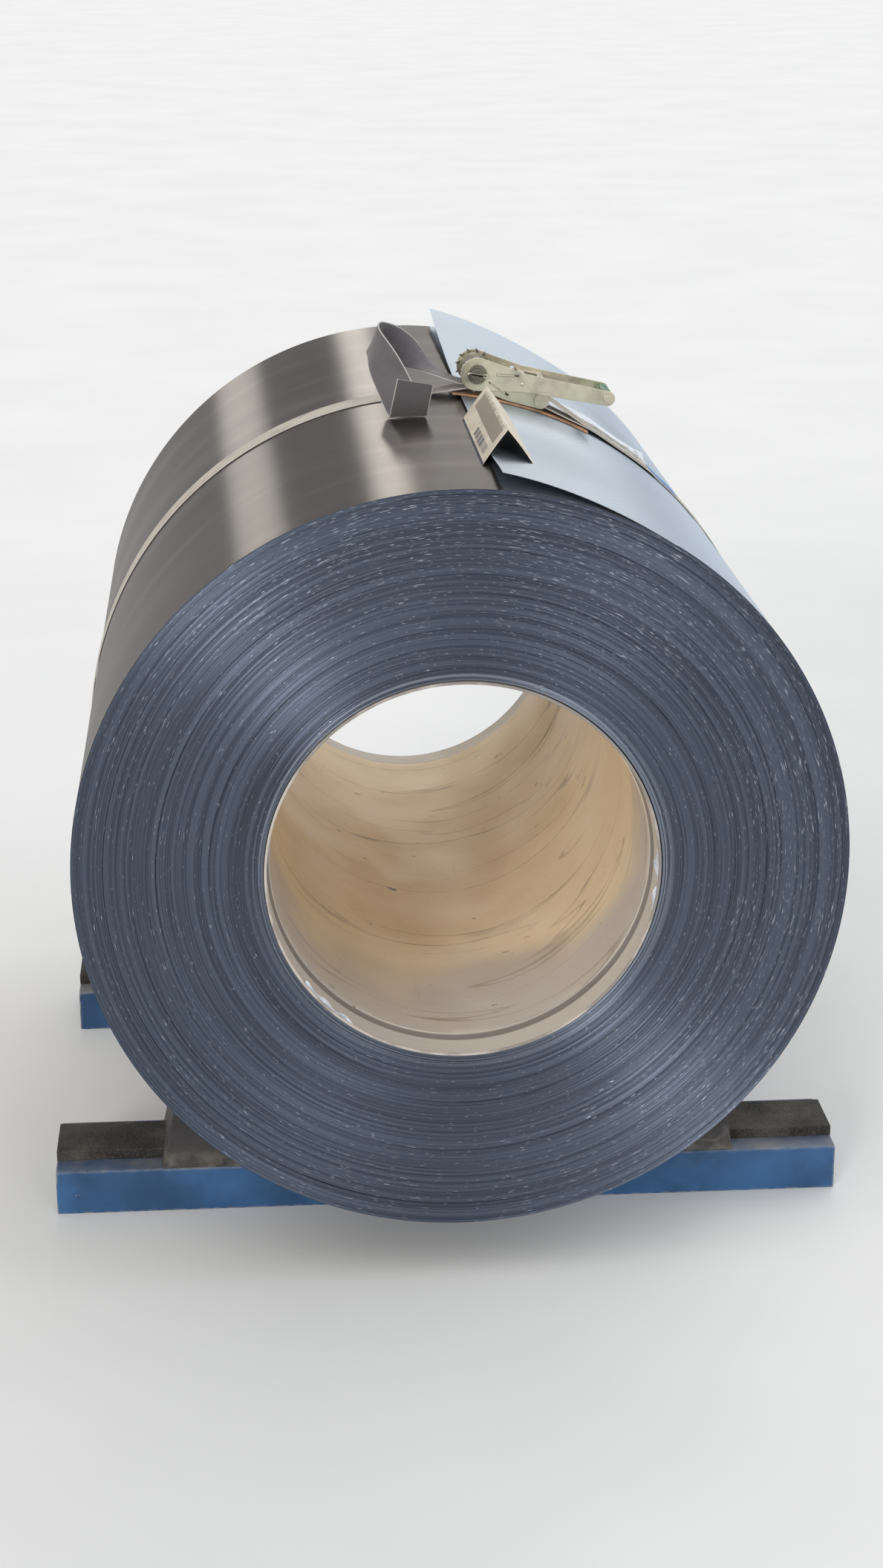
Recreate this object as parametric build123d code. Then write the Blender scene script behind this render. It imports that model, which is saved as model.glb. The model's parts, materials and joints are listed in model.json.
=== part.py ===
from build123d import *
import math
import os

# A coil of thin steel strip, lying on its share of a storage rack, with a lashing strap round it.
# Millimetres. X runs along the rack beams, Y along the coil's axis, Z up.
# The origin is on the floor, under the middle of the coil.

# Steel strip, wound on a paperboard core
strip_width = 1250.0
coil_radius = 495.0
bore_radius = 254.0
strip_thickness = 0.7
# The strip's free end, which springs off the coil at both corners.
# Places on the coil are millimetres along its outside, from its top towards +X.
lap_edge = 44.0
lap_root = 276.0
lap_curve = 1.6
lap_near_lift = 22.0
lap_middle_lift = 5.0
lap_far_lift = 29.0
# Core tube, which lies loose in the bore
core_wall = 7.5
core_play = 1.2
core_step_depth = 25.0
core_step_wall = 3.5

# Clearances, and how far a fused piece starts inside its neighbour
seat_gap = 0.3
run_gap = 0.06
root_bite = 0.05

# Rack: two channels with a slab on each and four chocks
beam_length = 1100.0
beam_width = 160.0
beam_height = 65.0
beam_web = 7.5
beam_flange = 10.5
beam_pitch = 640.0
slab_width = 90.0
slab_thickness = 15.0
coil_clearance = 4.0
chock_height = 150.0
chock_slope = 33.0
chock_toe = 12.0
chock_crown = 22.0
chock_back = 32.0
chock_rounding = 9.0
slab_chamfer = 1.5

# Lashing strap
strap_width = 50.0
strap_thickness = 2.0
strap_landing = 45.0
stitch_start = 70.0
stitch_length = 110.0
strap_settle = 35.0

# Ratchet buckle, in its own frame: spindle at the origin, handle along +X
ratchet_place = 62.0
ratchet_height = 39.0
ratchet_middle = 98.0
plate_thickness = 3.0
plate_gap = 0.6
frame_inside = 56.0
frame_end_radius = 20.0
frame_bolt_x = 97.6
frame_bolt_z = -21.0
frame_bolt_radius = 6.0
frame_bolt_head = 10.0
frame_lug_radius = 12.0
frame_belly_x = 52.0
frame_belly_z = -21.0
frame_belly_radius = 9.0
spindle_radius = 9.0
spindle_slot = 3.4
spindle_stickout = 5.0
washer_radius = 14.0
washer_thickness = 2.0
wheel_tip_radius = 27.0
wheel_root_radius = 20.5
wheel_teeth = 12
wound_radius = 17.0
handle_length = 190.0
handle_end_radius = 23.5
handle_neck_x = 80.0
handle_neck_half = 13.0
handle_tip_radius = 10.5
grip_radius = 9.5
handle_bolt_radius = 4.0
handle_bolt_head = 6.5
bolt_head_height = 3.0
bridge_start = 62.0
bridge_end = 98.0
bridge_rise = 7.0
pawl_thickness = 3.0
pawl_length = 26.0
pawl_travel = 6.0
pawl_bite = 23.0
handle_pawl_angle = 8.0
frame_pawl_angle = -24.0
tooth_lean = 6.0
spring_slot_start = 20.0
spring_slot_length = 22.0
spring_slot_width = 2.0

# Pad under the ratchet, label sheet and folded tag
pad_width = 66.0
pad_thickness = 3.0
pad_start = 32.0
pad_end = 233.0
pad_step_length = 35.0
label_start = 173.0
label_end = 354.0
label_near = 12.0
label_far = 125.0
label_thickness = 0.6
tag_length = 297.0
tag_near_end = 140.0
tag_x = 66.0
tag_width = 66.0
tag_height = 45.0
tag_board = 1.0

# Loose tail of the strap: its middle (along the coil, along Y, out from the coil) and the way across it
tail_route = [
    (61, 0, 23), (38, 0, 22), (-1, 5, 39), (-34, 8, 66), (-61, -9, 89), (-68, -48, 87),
    (-60, -84, 61), (-49, -115, 28), (-41, -152, 5), (-38, -191, 16), (-29, -211, 57),
]
tail_across = [
    (0, 1, 0), (0, 1, 0), (0.2, 1, 0.2), (0.5, 0.4, 0.8), (0.5, -0.2, 0.9), (0.3, -0.3, 0.9),
    (0.7, -0.2, 0.7), (0.9, 0, 0.5), (1, 0.1, 0.2), (1, 0, -0.2), (1, 0, -0.2),
]

# How many stations each curved outline is drawn through
tail_sections = 40
lap_stations = 7
run_in_stations = 7
run_out_stations = 12
sewn_stations = 8
sheet_stations = 12

axis_height = beam_height + slab_thickness + coil_clearance + coil_radius
half_width = strip_width / 2


def on_coil(place, height):
    """A point in the XZ plane: a place along the coil, and out from the coil."""
    angle = place / coil_radius
    radius = coil_radius + height
    return (radius * math.sin(angle), axis_height + radius * math.cos(angle))


def coil_place(x, z):
    """The reverse: a point's place along the coil and its height over it."""
    place = coil_radius * math.atan2(x, z - axis_height)
    return place, math.hypot(x, z - axis_height) - coil_radius


def evenly(first, last, count):
    return [first + (last - first) * i / (count - 1) for i in range(count)]


def across(sketch, y0, y1):
    """Extrudes a sketch drawn in XZ from y0 to y1."""
    return extrude(Plane.XZ.offset(-y0) * sketch, amount=y0 - y1)


def disc(radius, y0, y1, x=0.0, z=0.0):
    return across(Pos(x, z) * Circle(radius), y0, y1)


def lap_rise(place, lift):
    """How far the free end stands off the coil, level past its edge."""
    t = (lap_root - place) / (lap_root - lap_edge)
    return lift * min(max(t, 0.0), 1.0) ** lap_curve


def lap_section(y, lift):
    """The free end's section: the strip's thickness along a rising curve."""
    places = evenly(lap_root, lap_edge, lap_stations)
    outer = [on_coil(p, root_bite + lap_rise(p, lift)) for p in places]
    inner = [on_coil(p, root_bite + lap_rise(p, lift) - strip_thickness) for p in places]
    edges = Spline(*outer) + Line(outer[-1], inner[-1]) + Spline(*inner[::-1]) + Line(inner[0], outer[0])
    return Plane.XZ.offset(-y) * make_face(edges)


def steel_coil():
    ring = Pos(0, axis_height) * (Circle(coil_radius) - Circle(bore_radius))
    body = across(ring, -half_width, half_width)
    sections = [lap_section(-half_width, lap_near_lift), lap_section(0, lap_middle_lift)]
    sections.append(lap_section(half_width, lap_far_lift))
    return body + loft(sections)


def core_tube():
    outside = bore_radius - core_play
    inside = outside - core_wall
    step = outside - core_step_wall
    centre = axis_height - core_play + seat_gap
    tube = across(Pos(0, centre) * (Circle(outside) - Circle(inside)), -half_width, half_width)
    for y0 in (-half_width, half_width - core_step_depth):
        tube -= disc(step, y0, y0 + core_step_depth, 0, centre)
    return tube


def beam(y):
    """A channel lying on its flange edges, web up."""
    outside = Pos(0, beam_height / 2) * Rectangle(beam_width, beam_height)
    hollow_height = beam_height - beam_web
    hollow = Pos(0, hollow_height / 2) * Rectangle(beam_width - 2 * beam_flange, hollow_height)
    section = Plane.YZ.offset(-beam_length / 2) * (Pos(y, 0) * (outside - hollow))
    channel = extrude(section, amount=beam_length)
    corners = channel.edges().filter_by(Axis.X).group_by(Axis.Z)[-1]
    return fillet(corners, beam_web / 2)


def slab(y):
    block = Pos(0, y, beam_height + slab_thickness / 2) * Box(beam_length, slab_width, slab_thickness)
    return chamfer(block.edges().filter_by(Axis.X).group_by(Axis.Z)[-1], slab_chamfer)


def chock(side, y):
    """A moulded wedge whose sloping face is tangent to the coil; it straddles the slab."""
    slope = math.radians(chock_slope)
    reach = coil_radius + seat_gap
    touch_x = reach * math.sin(slope)
    touch_z = axis_height - reach * math.cos(slope)
    toe_z = beam_height + chock_toe
    top_z = beam_height + chock_height
    toe_x = touch_x - (touch_z - toe_z) / math.tan(slope)
    top_x = touch_x + (top_z - touch_z) / math.tan(slope)
    back_x = top_x + chock_crown
    foot_x = back_x + chock_back
    points = [(toe_x, beam_height), (toe_x, toe_z), (top_x, top_z), (back_x, top_z)]
    points += [(foot_x, beam_height)]
    profile = make_face(Polyline(*points, close=True))
    body = across(profile, y - beam_width / 2, y + beam_width / 2)
    crown = body.edges().filter_by(Axis.Y).group_by(Axis.Z)[-1]
    body = fillet(crown, chock_rounding)
    slot_width = slab_width + 2 * seat_gap
    slot_height = slab_thickness + seat_gap
    middle = (toe_x + foot_x) / 2
    slot = Box(foot_x - toe_x + 2, slot_width, slot_height)
    body -= Pos(middle, y, beam_height + slot_height / 2) * slot
    return body if side > 0 else body.mirror(Plane.YZ)


def in_ratchet(shape):
    """Moves a shape from the ratchet's frame to its place: tangent to the coil at the buckle's middle."""
    x, z = on_coil(ratchet_place, ratchet_height)
    tilt = math.degrees(ratchet_middle / coil_radius)
    return Location((x, 0, z), (0, tilt, 0)) * shape


def ratchet_point(x, z):
    """A point of the ratchet's frame, in the part's XZ plane."""
    centre = in_ratchet(Pos(x, 0, z)).position
    return (centre.X, centre.Z)


def blade_slot(angle, start, length, thickness):
    """A slot outline that lies along a radius from the spindle."""
    bar = Pos(start + length / 2, 0) * Rectangle(length, thickness)
    return Rot(0, 0, angle) * bar


frame_inner = frame_inside / 2
frame_outer = frame_inner + plate_thickness
wheel_inner = frame_outer + plate_gap
wheel_outer = wheel_inner + plate_thickness
handle_inner = wheel_outer + plate_gap
handle_outer = handle_inner + plate_thickness


def hull(*circles):
    """The convex outline round several circles."""
    edges = [edge for circle in circles for edge in circle.edges()]
    return make_hull(edges)


def both_sides(sketch, inner, outer):
    return across(sketch, -outer, -inner) + across(sketch, inner, outer)


def ratchet_frame():
    """Two side plates round the spindle and the bolt, with a floor between them."""
    lug = Pos(frame_bolt_x, frame_bolt_z) * Circle(frame_lug_radius)
    belly = Pos(frame_belly_x, frame_belly_z) * Circle(frame_belly_radius)
    outline = hull(Circle(frame_end_radius), belly, lug)
    outline -= Circle(spindle_radius + run_gap)
    outline -= Pos(frame_bolt_x, frame_bolt_z) * Circle(frame_bolt_radius + run_gap)
    slot_length = pawl_length + pawl_travel + 2 * seat_gap
    slot_start = pawl_bite - seat_gap
    outline -= blade_slot(frame_pawl_angle, slot_start, slot_length, pawl_thickness + 2 * seat_gap)
    rest = Pos(frame_end_radius + frame_bolt_x, frame_end_radius) * Rectangle(
        2 * frame_bolt_x - 2 * seat_gap, 2 * frame_end_radius)
    outline -= rest
    plates = both_sides(outline, frame_inner, frame_outer)
    floor_z = frame_belly_z - frame_belly_radius + plate_thickness / 2
    floor = Pos(frame_belly_x, 0, floor_z) * Box(frame_belly_radius * 2, frame_inside, plate_thickness)
    return plates + floor


def ratchet_wheel(side):
    """A disc with saw teeth: a steep face that the pawls catch and a long back."""
    points = []
    pitch = 360 / wheel_teeth
    for i in range(wheel_teeth):
        steep = math.radians(i * pitch + handle_pawl_angle - tooth_lean)
        root = math.radians(i * pitch + handle_pawl_angle + tooth_lean)
        points.append((wheel_tip_radius * math.cos(steep), wheel_tip_radius * math.sin(steep)))
        points.append((wheel_root_radius * math.cos(steep), wheel_root_radius * math.sin(steep)))
        points.append((wheel_root_radius * math.cos(root), wheel_root_radius * math.sin(root)))
    outline = make_face(Polyline(*points, close=True)) - Circle(spindle_radius + run_gap)
    if side < 0:
        return across(outline, -wheel_outer, -wheel_inner)
    return across(outline, wheel_inner, wheel_outer)


def spindle_half(side):
    """One of the two half-round bars, with the webbing's slot between them."""
    end = handle_outer + washer_thickness + plate_gap + spindle_stickout
    cutter = Rectangle(2 * spindle_radius, 2 * spindle_radius)
    bar = Circle(spindle_radius) & Pos(0, side * (spindle_radius + spindle_slot / 2)) * cutter
    return across(bar, -end, end)


def spindle_washer(side):
    inner = handle_outer + plate_gap / 2
    ring = Circle(washer_radius) - Circle(spindle_radius + run_gap)
    if side < 0:
        return across(ring, -inner - washer_thickness, -inner)
    return across(ring, inner, inner + washer_thickness)


def bolt(x, z, radius, head_radius, inner):
    """A headed pin across the buckle, with a head at each end."""
    shank = disc(radius, -inner, inner, x, z)
    near = disc(head_radius, -inner - bolt_head_height, -inner, x, z)
    far = disc(head_radius, inner, inner + bolt_head_height, x, z)
    return shank + near + far


def handle():
    """Two arms, round at the spindle and tapering to the grip, with a bridge between them."""
    neck = Pos(handle_neck_x - handle_neck_half, 0) * Circle(handle_neck_half)
    wide = hull(Circle(handle_end_radius), neck)
    tip = Pos(handle_length, 0) * Circle(handle_tip_radius)
    slim = hull(neck, tip)
    outline = wide + slim - Circle(spindle_radius + run_gap)
    outline -= Pos(handle_length, 0) * Circle(handle_bolt_radius + run_gap)
    slot_length = pawl_length + pawl_travel + 2 * seat_gap
    slot_start = wheel_tip_radius
    outline -= blade_slot(handle_pawl_angle, slot_start, slot_length, pawl_thickness + 2 * seat_gap)
    outline -= blade_slot(frame_pawl_angle, spring_slot_start, spring_slot_length, spring_slot_width)
    arms = both_sides(outline, handle_inner, handle_outer)
    length = bridge_end - bridge_start
    deck = Box(length, 2 * handle_inner, plate_thickness) - Box(length / 2, handle_inner, plate_thickness)
    lip = Pos(length / 2 - plate_thickness / 2, 0, -plate_thickness) * Box(
        plate_thickness, 2 * handle_inner, plate_thickness)
    bridge = deck + lip
    return arms + Pos((bridge_start + bridge_end) / 2, 0, bridge_rise) * bridge


def pawl(angle, start, half_span):
    """A flat sprung plate across the buckle, whose edge stops the wheels."""
    blade = blade_slot(angle, start, pawl_length, pawl_thickness)
    return across(blade, -half_span, half_span)


def grip():
    reach = handle_inner - seat_gap
    roller = Circle(grip_radius) - Circle(handle_bolt_radius + run_gap)
    return across(Pos(handle_length, 0) * roller, -reach, reach)


def band(places, heights, thickness):
    """A strip's outline along the coil: its underside's places and heights, and its thickness."""
    inner = [on_coil(p, h) for p, h in zip(places, heights)]
    outer = [on_coil(p, h + thickness) for p, h in zip(places, heights)]
    return make_face(Polyline(*inner, *outer[::-1], close=True))


def pad_base(place):
    """Height of the pad's underside, which follows the strip's free end."""
    return lap_rise(place, lap_middle_lift) + 2 * seat_gap


def label_base(place):
    """Height of the label's underside: over the pad, then down on the coil."""
    past = max(place - pad_end, 0.0)
    drop = math.exp(-(past / pad_step_length) ** 2)
    return pad_base(place) + (pad_thickness + seat_gap) * drop


def strap_run_in():
    """The stretch that leaves the coil and passes straight under the webbing on the spindle."""
    spindle, height = coil_place(*ratchet_point(0, 0))
    under = coil_radius + seat_gap
    beside = under + 2 * strap_thickness + wound_radius
    leaves = spindle - coil_radius * math.acos(beside / (coil_radius + height))
    places = evenly(leaves, spindle, run_in_stations)
    heights = [under / math.cos((p - leaves) / coil_radius) - coil_radius for p in places]
    return leaves, band(places, heights, strap_thickness)


def strap_run_out(bolt_place, bolt_height):
    """The stretch from the frame bolt down over pad and label to the coil, sewn back on itself."""
    loop = frame_bolt_radius + seat_gap
    settle = label_end + strap_settle
    lower_start = bolt_height - loop - strap_thickness
    upper_start = bolt_height + loop + seat_gap
    landing = bolt_place + strap_landing
    sewn_start = bolt_place + stitch_start
    sewn_end = min(sewn_start + stitch_length, settle)
    lap_over = label_thickness + 3 * seat_gap
    places = evenly(landing, settle, run_out_stations)
    heights = [label_base(p) + lap_over for p in places[:-1]] + [seat_gap]
    lower = band([bolt_place] + places, [lower_start] + heights, strap_thickness)
    sewn = evenly(sewn_start, sewn_end, sewn_stations)
    heights = [label_base(p) + lap_over + strap_thickness - root_bite for p in sewn]
    upper = band([bolt_place] + sewn, [upper_start] + heights, strap_thickness)
    return settle, lower + upper


def strap():
    """The webbing round the coil, from the spindle to the sewn loop on the frame bolt."""
    bolt_x, bolt_z = ratchet_point(frame_bolt_x, frame_bolt_z)
    bolt_place, bolt_height = coil_place(bolt_x, bolt_z)
    loop = frame_bolt_radius + seat_gap
    eye = Circle(loop + strap_thickness) - Circle(loop)
    eye &= Pos(-loop, 0) * Rectangle(2 * loop, 4 * loop)
    eye = Pos(bolt_x, bolt_z) * Rot(0, 0, -math.degrees(bolt_place / coil_radius)) * eye
    leaves, run_in = strap_run_in()
    settle, run_out = strap_run_out(bolt_place, bolt_height)
    inside = coil_radius + seat_gap
    ring = Pos(0, axis_height) * (Circle(inside + strap_thickness) - Circle(inside))
    far = 2 * coil_radius
    gap = Polyline((0, axis_height), on_coil(leaves, far), (0, axis_height + 3 * far), on_coil(settle, far),
                   close=True)
    outline = ring - make_face(gap) + run_in + run_out + eye
    return across(outline, -strap_width / 2, strap_width / 2)


def facet(*corners):
    return Face(Wire.make_polygon(corners, close=True))


def ribbon(sections):
    """A solid with flat facets between four-cornered sections."""
    faces = [facet(*sections[0]), facet(*sections[-1])]
    for a, b in zip(sections, sections[1:]):
        for i in range(4):
            j = (i + 1) % 4
            quad = [a[i], a[j], b[j], b[i]]
            turned = quad[1:] + quad[:1] if i == 3 else quad
            faces.append(facet(*turned[:3]))
            faces.append(facet(turned[0], *turned[2:]))
    return Solid(Shell(faces))


def tail_section(middle, border, t):
    """The webbing's four corners at one point of the tail's middle and border curves."""
    point = middle @ t
    side = (border @ t - point).normalized() * (strap_width / 2)
    out = (middle % t).cross(side).normalized() * (strap_thickness / 2)
    return [point + side + out, point + side - out, point - side - out, point - side + out]


def strap_tail():
    """The webbing wound on the spindle and its loose tail, twisted up and curled at the end."""
    wound = Circle(wound_radius) - Circle(spindle_radius + seat_gap)
    roll = in_ratchet(across(wound, -strap_width / 2, strap_width / 2))
    points = []
    borders = []
    for (place, y, height), way in zip(tail_route, tail_across):
        x, z = on_coil(place, height)
        points.append(Vector(x, y, z))
        borders.append(points[-1] + Vector(*way).normalized() * (strap_width / 2))
    knots = evenly(0, 1, len(points))
    middle = Edge.make_spline(points, parameters=knots)
    border = Edge.make_spline(borders, parameters=knots)
    sections = [tail_section(middle, border, t) for t in evenly(0, 1, tail_sections)]
    return roll + ribbon(sections)


def pad():
    places = evenly(pad_start, pad_end, sheet_stations)
    outline = band(places, [pad_base(p) for p in places], pad_thickness)
    return across(outline, -pad_width / 2, pad_width / 2)


def label_sheet():
    places = evenly(label_start, label_end, sheet_stations)
    outline = band(places, [label_base(p) for p in places], label_thickness)
    return across(outline, label_near, label_far)


def folded_tag():
    """A board folded along its middle, standing like a tent over the strip's edge."""
    near = -half_width + tag_near_end
    left_x = tag_x - tag_width / 2
    right_x = tag_x + tag_width / 2
    share = (near / half_width) ** 2
    lift = lap_middle_lift + (lap_near_lift - lap_middle_lift) * share
    left_z = axis_height + math.sqrt(coil_radius ** 2 - left_x ** 2) + seat_gap
    right_place = coil_radius * math.asin(right_x / coil_radius)
    right_z = on_coil(right_place, lap_rise(right_place, lift))[1] + 2 * seat_gap
    apex_z = max(left_z, right_z) + tag_height
    wall = tag_board * math.hypot(tag_width / 2, tag_height) / tag_height
    drop = wall * tag_height / (tag_width / 2)
    points = [(left_x, left_z), (tag_x, apex_z), (right_x, right_z), (right_x - wall, right_z)]
    points += [(tag_x, apex_z - drop), (left_x + wall, left_z)]
    return across(make_face(Polyline(*points, close=True)), near, near + tag_length)


def main():
    os.makedirs("parts", exist_ok=True)
    handle_bolt_inner = handle_outer + plate_gap / 2
    frame_bolt_inner = frame_outer + plate_gap / 2
    pieces = {
        "steel_coil": steel_coil(),
        "core_tube": core_tube(),
        "strap": strap(),
        "strap_tail": strap_tail(),
        "ratchet_frame": in_ratchet(ratchet_frame()),
        "ratchet_wheel_near": in_ratchet(ratchet_wheel(-1)),
        "ratchet_wheel_far": in_ratchet(ratchet_wheel(1)),
        "spindle_upper": in_ratchet(spindle_half(1)),
        "spindle_lower": in_ratchet(spindle_half(-1)),
        "spindle_washer_near": in_ratchet(spindle_washer(-1)),
        "spindle_washer_far": in_ratchet(spindle_washer(1)),
        "frame_bolt": in_ratchet(bolt(frame_bolt_x, frame_bolt_z, frame_bolt_radius, frame_bolt_head,
                                      frame_bolt_inner)),
        "handle": in_ratchet(handle()),
        "handle_bolt": in_ratchet(bolt(handle_length, 0, handle_bolt_radius, handle_bolt_head,
                                       handle_bolt_inner)),
        "handle_grip": in_ratchet(grip()),
        "handle_pawl": in_ratchet(pawl(handle_pawl_angle, wheel_tip_radius + seat_gap, handle_outer)),
        "frame_pawl": in_ratchet(pawl(frame_pawl_angle, pawl_bite, wheel_outer)),
        "pad": pad(),
        "label_sheet": label_sheet(),
        "folded_tag": folded_tag(),
    }
    for place, y in (("near", -beam_pitch / 2), ("far", beam_pitch / 2)):
        pieces["beam_" + place] = beam(y)
        pieces["slab_" + place] = slab(y)
        for name, side in (("left", -1), ("right", 1)):
            pieces[f"chock_{place}_{name}"] = chock(side, y)
    for name, shape in pieces.items():
        export_step(shape, f"parts/{name}.step")


main()
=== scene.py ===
"""The finish of a steel coil on its share of a storage rack: turns, free end, core, lashing strap,
ratchet buckle, label, tag, pad, beams, slabs and chocks, with a plain stage round them."""
import json
import math

import bmesh
import bpy
import numpy as np
from bpy.props import FloatProperty, FloatVectorProperty, IntProperty, PointerProperty
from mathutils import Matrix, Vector


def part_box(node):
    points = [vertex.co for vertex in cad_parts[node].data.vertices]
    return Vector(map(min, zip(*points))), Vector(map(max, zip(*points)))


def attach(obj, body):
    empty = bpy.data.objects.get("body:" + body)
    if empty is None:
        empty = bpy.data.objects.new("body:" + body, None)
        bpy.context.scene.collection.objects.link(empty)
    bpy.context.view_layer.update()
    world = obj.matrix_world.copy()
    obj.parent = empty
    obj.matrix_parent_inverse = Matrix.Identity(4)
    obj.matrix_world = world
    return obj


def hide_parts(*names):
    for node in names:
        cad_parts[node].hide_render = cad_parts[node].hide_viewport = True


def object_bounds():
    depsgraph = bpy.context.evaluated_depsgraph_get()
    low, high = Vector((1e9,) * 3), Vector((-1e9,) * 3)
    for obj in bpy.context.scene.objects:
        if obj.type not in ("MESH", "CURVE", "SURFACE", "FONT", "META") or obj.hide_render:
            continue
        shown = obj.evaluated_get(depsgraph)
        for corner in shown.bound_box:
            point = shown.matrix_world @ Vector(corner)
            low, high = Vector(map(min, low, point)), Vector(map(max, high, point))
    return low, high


bl_info = {
    "name": "Steel coil on a rack",
    "version": (1, 0, 0),
    "blender": (4, 5, 0),
    "location": "View3D > Sidebar > Steel coil",
    "description": "Makes the finished pieces of a strapped steel coil round its CAD frame",
    "category": "Add Mesh",
}

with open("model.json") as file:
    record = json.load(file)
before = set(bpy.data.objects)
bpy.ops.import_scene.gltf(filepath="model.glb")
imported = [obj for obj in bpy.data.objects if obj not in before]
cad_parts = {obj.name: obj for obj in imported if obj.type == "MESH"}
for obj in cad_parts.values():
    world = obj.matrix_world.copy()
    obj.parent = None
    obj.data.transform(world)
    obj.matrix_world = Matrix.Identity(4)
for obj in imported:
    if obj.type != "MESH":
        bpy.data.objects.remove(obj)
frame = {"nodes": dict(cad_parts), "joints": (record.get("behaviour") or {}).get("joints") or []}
cad_low, cad_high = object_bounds()
MM = 0.001
TURN = 2 * math.pi
# Ends the name of each material made here, because the frame's plain ones have the slots' names
MADE = "_finish"

# The coil, read from the frame: its box, its radius and the height of its axis
coil_low, coil_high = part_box("steel_coil")
COIL_RADIUS = -coil_low.x
AXIS_HEIGHT = coil_low.z + COIL_RADIUS
HALF_WIDTH = coil_high.y
core_low, core_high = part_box("core_tube")
CORE_OUTSIDE = (core_high.x - core_low.x) / 2
CORE_CENTRE = (core_high.z + core_low.z) / 2
CORE_PLAY = 1.2 * MM
BORE_RADIUS = CORE_OUTSIDE + CORE_PLAY
CORE_WALL = 7.5 * MM
CORE_STEP_WALL = 3.5 * MM
CORE_STEP_DEPTH = 44 * MM
CORE_STEP_SLOPE = 12 * MM
STRIP_THICKNESS = 0.7 * MM
CHOCK_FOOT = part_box("chock_near_left")[0].z

# The strip's free end. Places are measured along the coil's outside from its top towards +X
LAP_EDGE = 44 * MM
LAP_ROOT = 276 * MM
LAP_CURVE = 1.6
LAP_NEAR_LIFT = 22 * MM
LAP_MIDDLE_LIFT = 5 * MM
LAP_FAR_LIFT = 29 * MM
# Each dent's place, Y, reach along the coil, reach along Y, and depth
LAP_DENTS = np.array([(150, -200, 30, 40, 2.4), (190, -330, 50, 80, 1.6), (120, -130, 18, 30, 1.8),
                      (160, 300, 50, 90, 1.8)]) * MM
SEAT_GAP = 0.3 * MM
# Torn bits of lining paper at the core's near rim: first and last angle, and depth
TORN_BITS = ((1.47, 1.64, 26 * MM), (1.67, 1.8, 16 * MM), (3.75, 4.1, 15 * MM))

# Strap and buckle
STRAP_HALF = 25 * MM
STRAP_THICKNESS = 2 * MM
STRAP_COLUMNS = 5
WOUND_RADIUS = 17 * MM
WOUND_START = 10.4 * MM
WOUND_TURNS = 3.3
STRAP_LANDING = 45 * MM
STITCH_START = 70 * MM
STITCH_LENGTH = 110 * MM
STITCH_PITCH = 4 * MM
STRAP_SETTLE = 35 * MM
PATCH_START = 343 * MM
PATCH_LENGTH = 55 * MM
BOLT_X = 97.6 * MM
BOLT_Z = -21 * MM
BOLT_RADIUS = 6 * MM
HANDLE_OUTER = 38.2 * MM
RIVET_X = 66 * MM
RIVET_Z = -2 * MM
RIVET_RADIUS = 3 * MM
PIN_Y = 43 * MM
PIN_RADIUS = 1.1 * MM
PIN_SIDES = 8
spindle = Vector(frame["joints"][0]["pos_m"])
BUCKLE_TILT = 98 * MM / COIL_RADIUS

# Pad, label and tag
PAD_HALF = 33 * MM
PAD_THICKNESS = 3 * MM
PAD_START = 32 * MM
PAD_END = 233 * MM
PAD_STEP = 35 * MM
LABEL_START = 173 * MM
LABEL_END = 354 * MM
LABEL_NEAR = 12 * MM
LABEL_FAR = 125 * MM
LABEL_THICKNESS = 0.6 * MM
TAG_BOARD = 1 * MM
PRINT_EDGE = 0.3 * MM

# Loose tail of the strap, in millimetres: place along the coil, along Y, out from the coil,
# and the way across the webbing
TAIL_ROUTE = [
    (61, 0, 23), (38, 0, 22), (-1, 5, 39), (-34, 8, 66), (-61, -9, 89), (-68, -48, 87),
    (-60, -84, 61), (-49, -115, 28), (-41, -152, 5), (-38, -191, 16), (-29, -211, 57),
]
TAIL_ACROSS = [
    (0, 1, 0), (0, 1, 0), (0.2, 1, 0.2), (0.5, 0.4, 0.8), (0.5, -0.2, 0.9), (0.3, -0.3, 0.9),
    (0.7, -0.2, 0.7), (0.9, 0, 0.5), (1, 0.1, 0.2), (1, 0, -0.2), (1, 0, -0.2),
]

# Each lamp's name, the way its light comes from, its strength, its spread in degrees and its colour
LAMPS = (
    ("key", (-0.4, -0.6, 0.68), 0.85, 50, (1.0, 0.97, 0.93)),
    ("front", (-0.45, -0.86, 0.24), 1.25, 16, (1.0, 0.98, 0.96)),
    ("fill", (0.4, -0.88, 0.25), 0.4, 20, (1.0, 0.99, 0.98)),
    ("window", (0.85, 0.1, 0.5), 0.5, 60, (0.9, 0.95, 1.0)),
    ("back", (0.25, 0.75, 0.6), 0.6, 40, (1.0, 0.98, 0.95)),
    ("streak_left", (-0.2, 0.95, 0.13), 0.06, 5, (1.0, 0.93, 0.84)),
    ("streak_middle", (-0.03, 0.95, 0.27), 0.08, 4, (1.0, 0.93, 0.84)),
)
CAMERA_PLACE = (-0.2703, -3.8206, 1.7797)
CAMERA_AIM = (0.0, -0.25, -0.02)


# Places and curves

def on_coil(place, height):
    """X and Z of a place along the coil and a height over it: an arc of the coil's radius."""
    angle = place / COIL_RADIUS
    radius = COIL_RADIUS + height
    return radius * np.sin(angle), AXIS_HEIGHT + radius * np.cos(angle)


def coil_place(x, z):
    """The reverse: the place along the coil and the height over it."""
    return COIL_RADIUS * np.arctan2(x, z - AXIS_HEIGHT), np.hypot(x, z - AXIS_HEIGHT) - COIL_RADIUS


def in_buckle(x, z):
    """X and Z in the part of a point in the buckle's own frame, turned by the buckle's tilt."""
    c, s = math.cos(BUCKLE_TILT), math.sin(BUCKLE_TILT)
    return spindle.x + x * c + z * s, spindle.z - x * s + z * c


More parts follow.
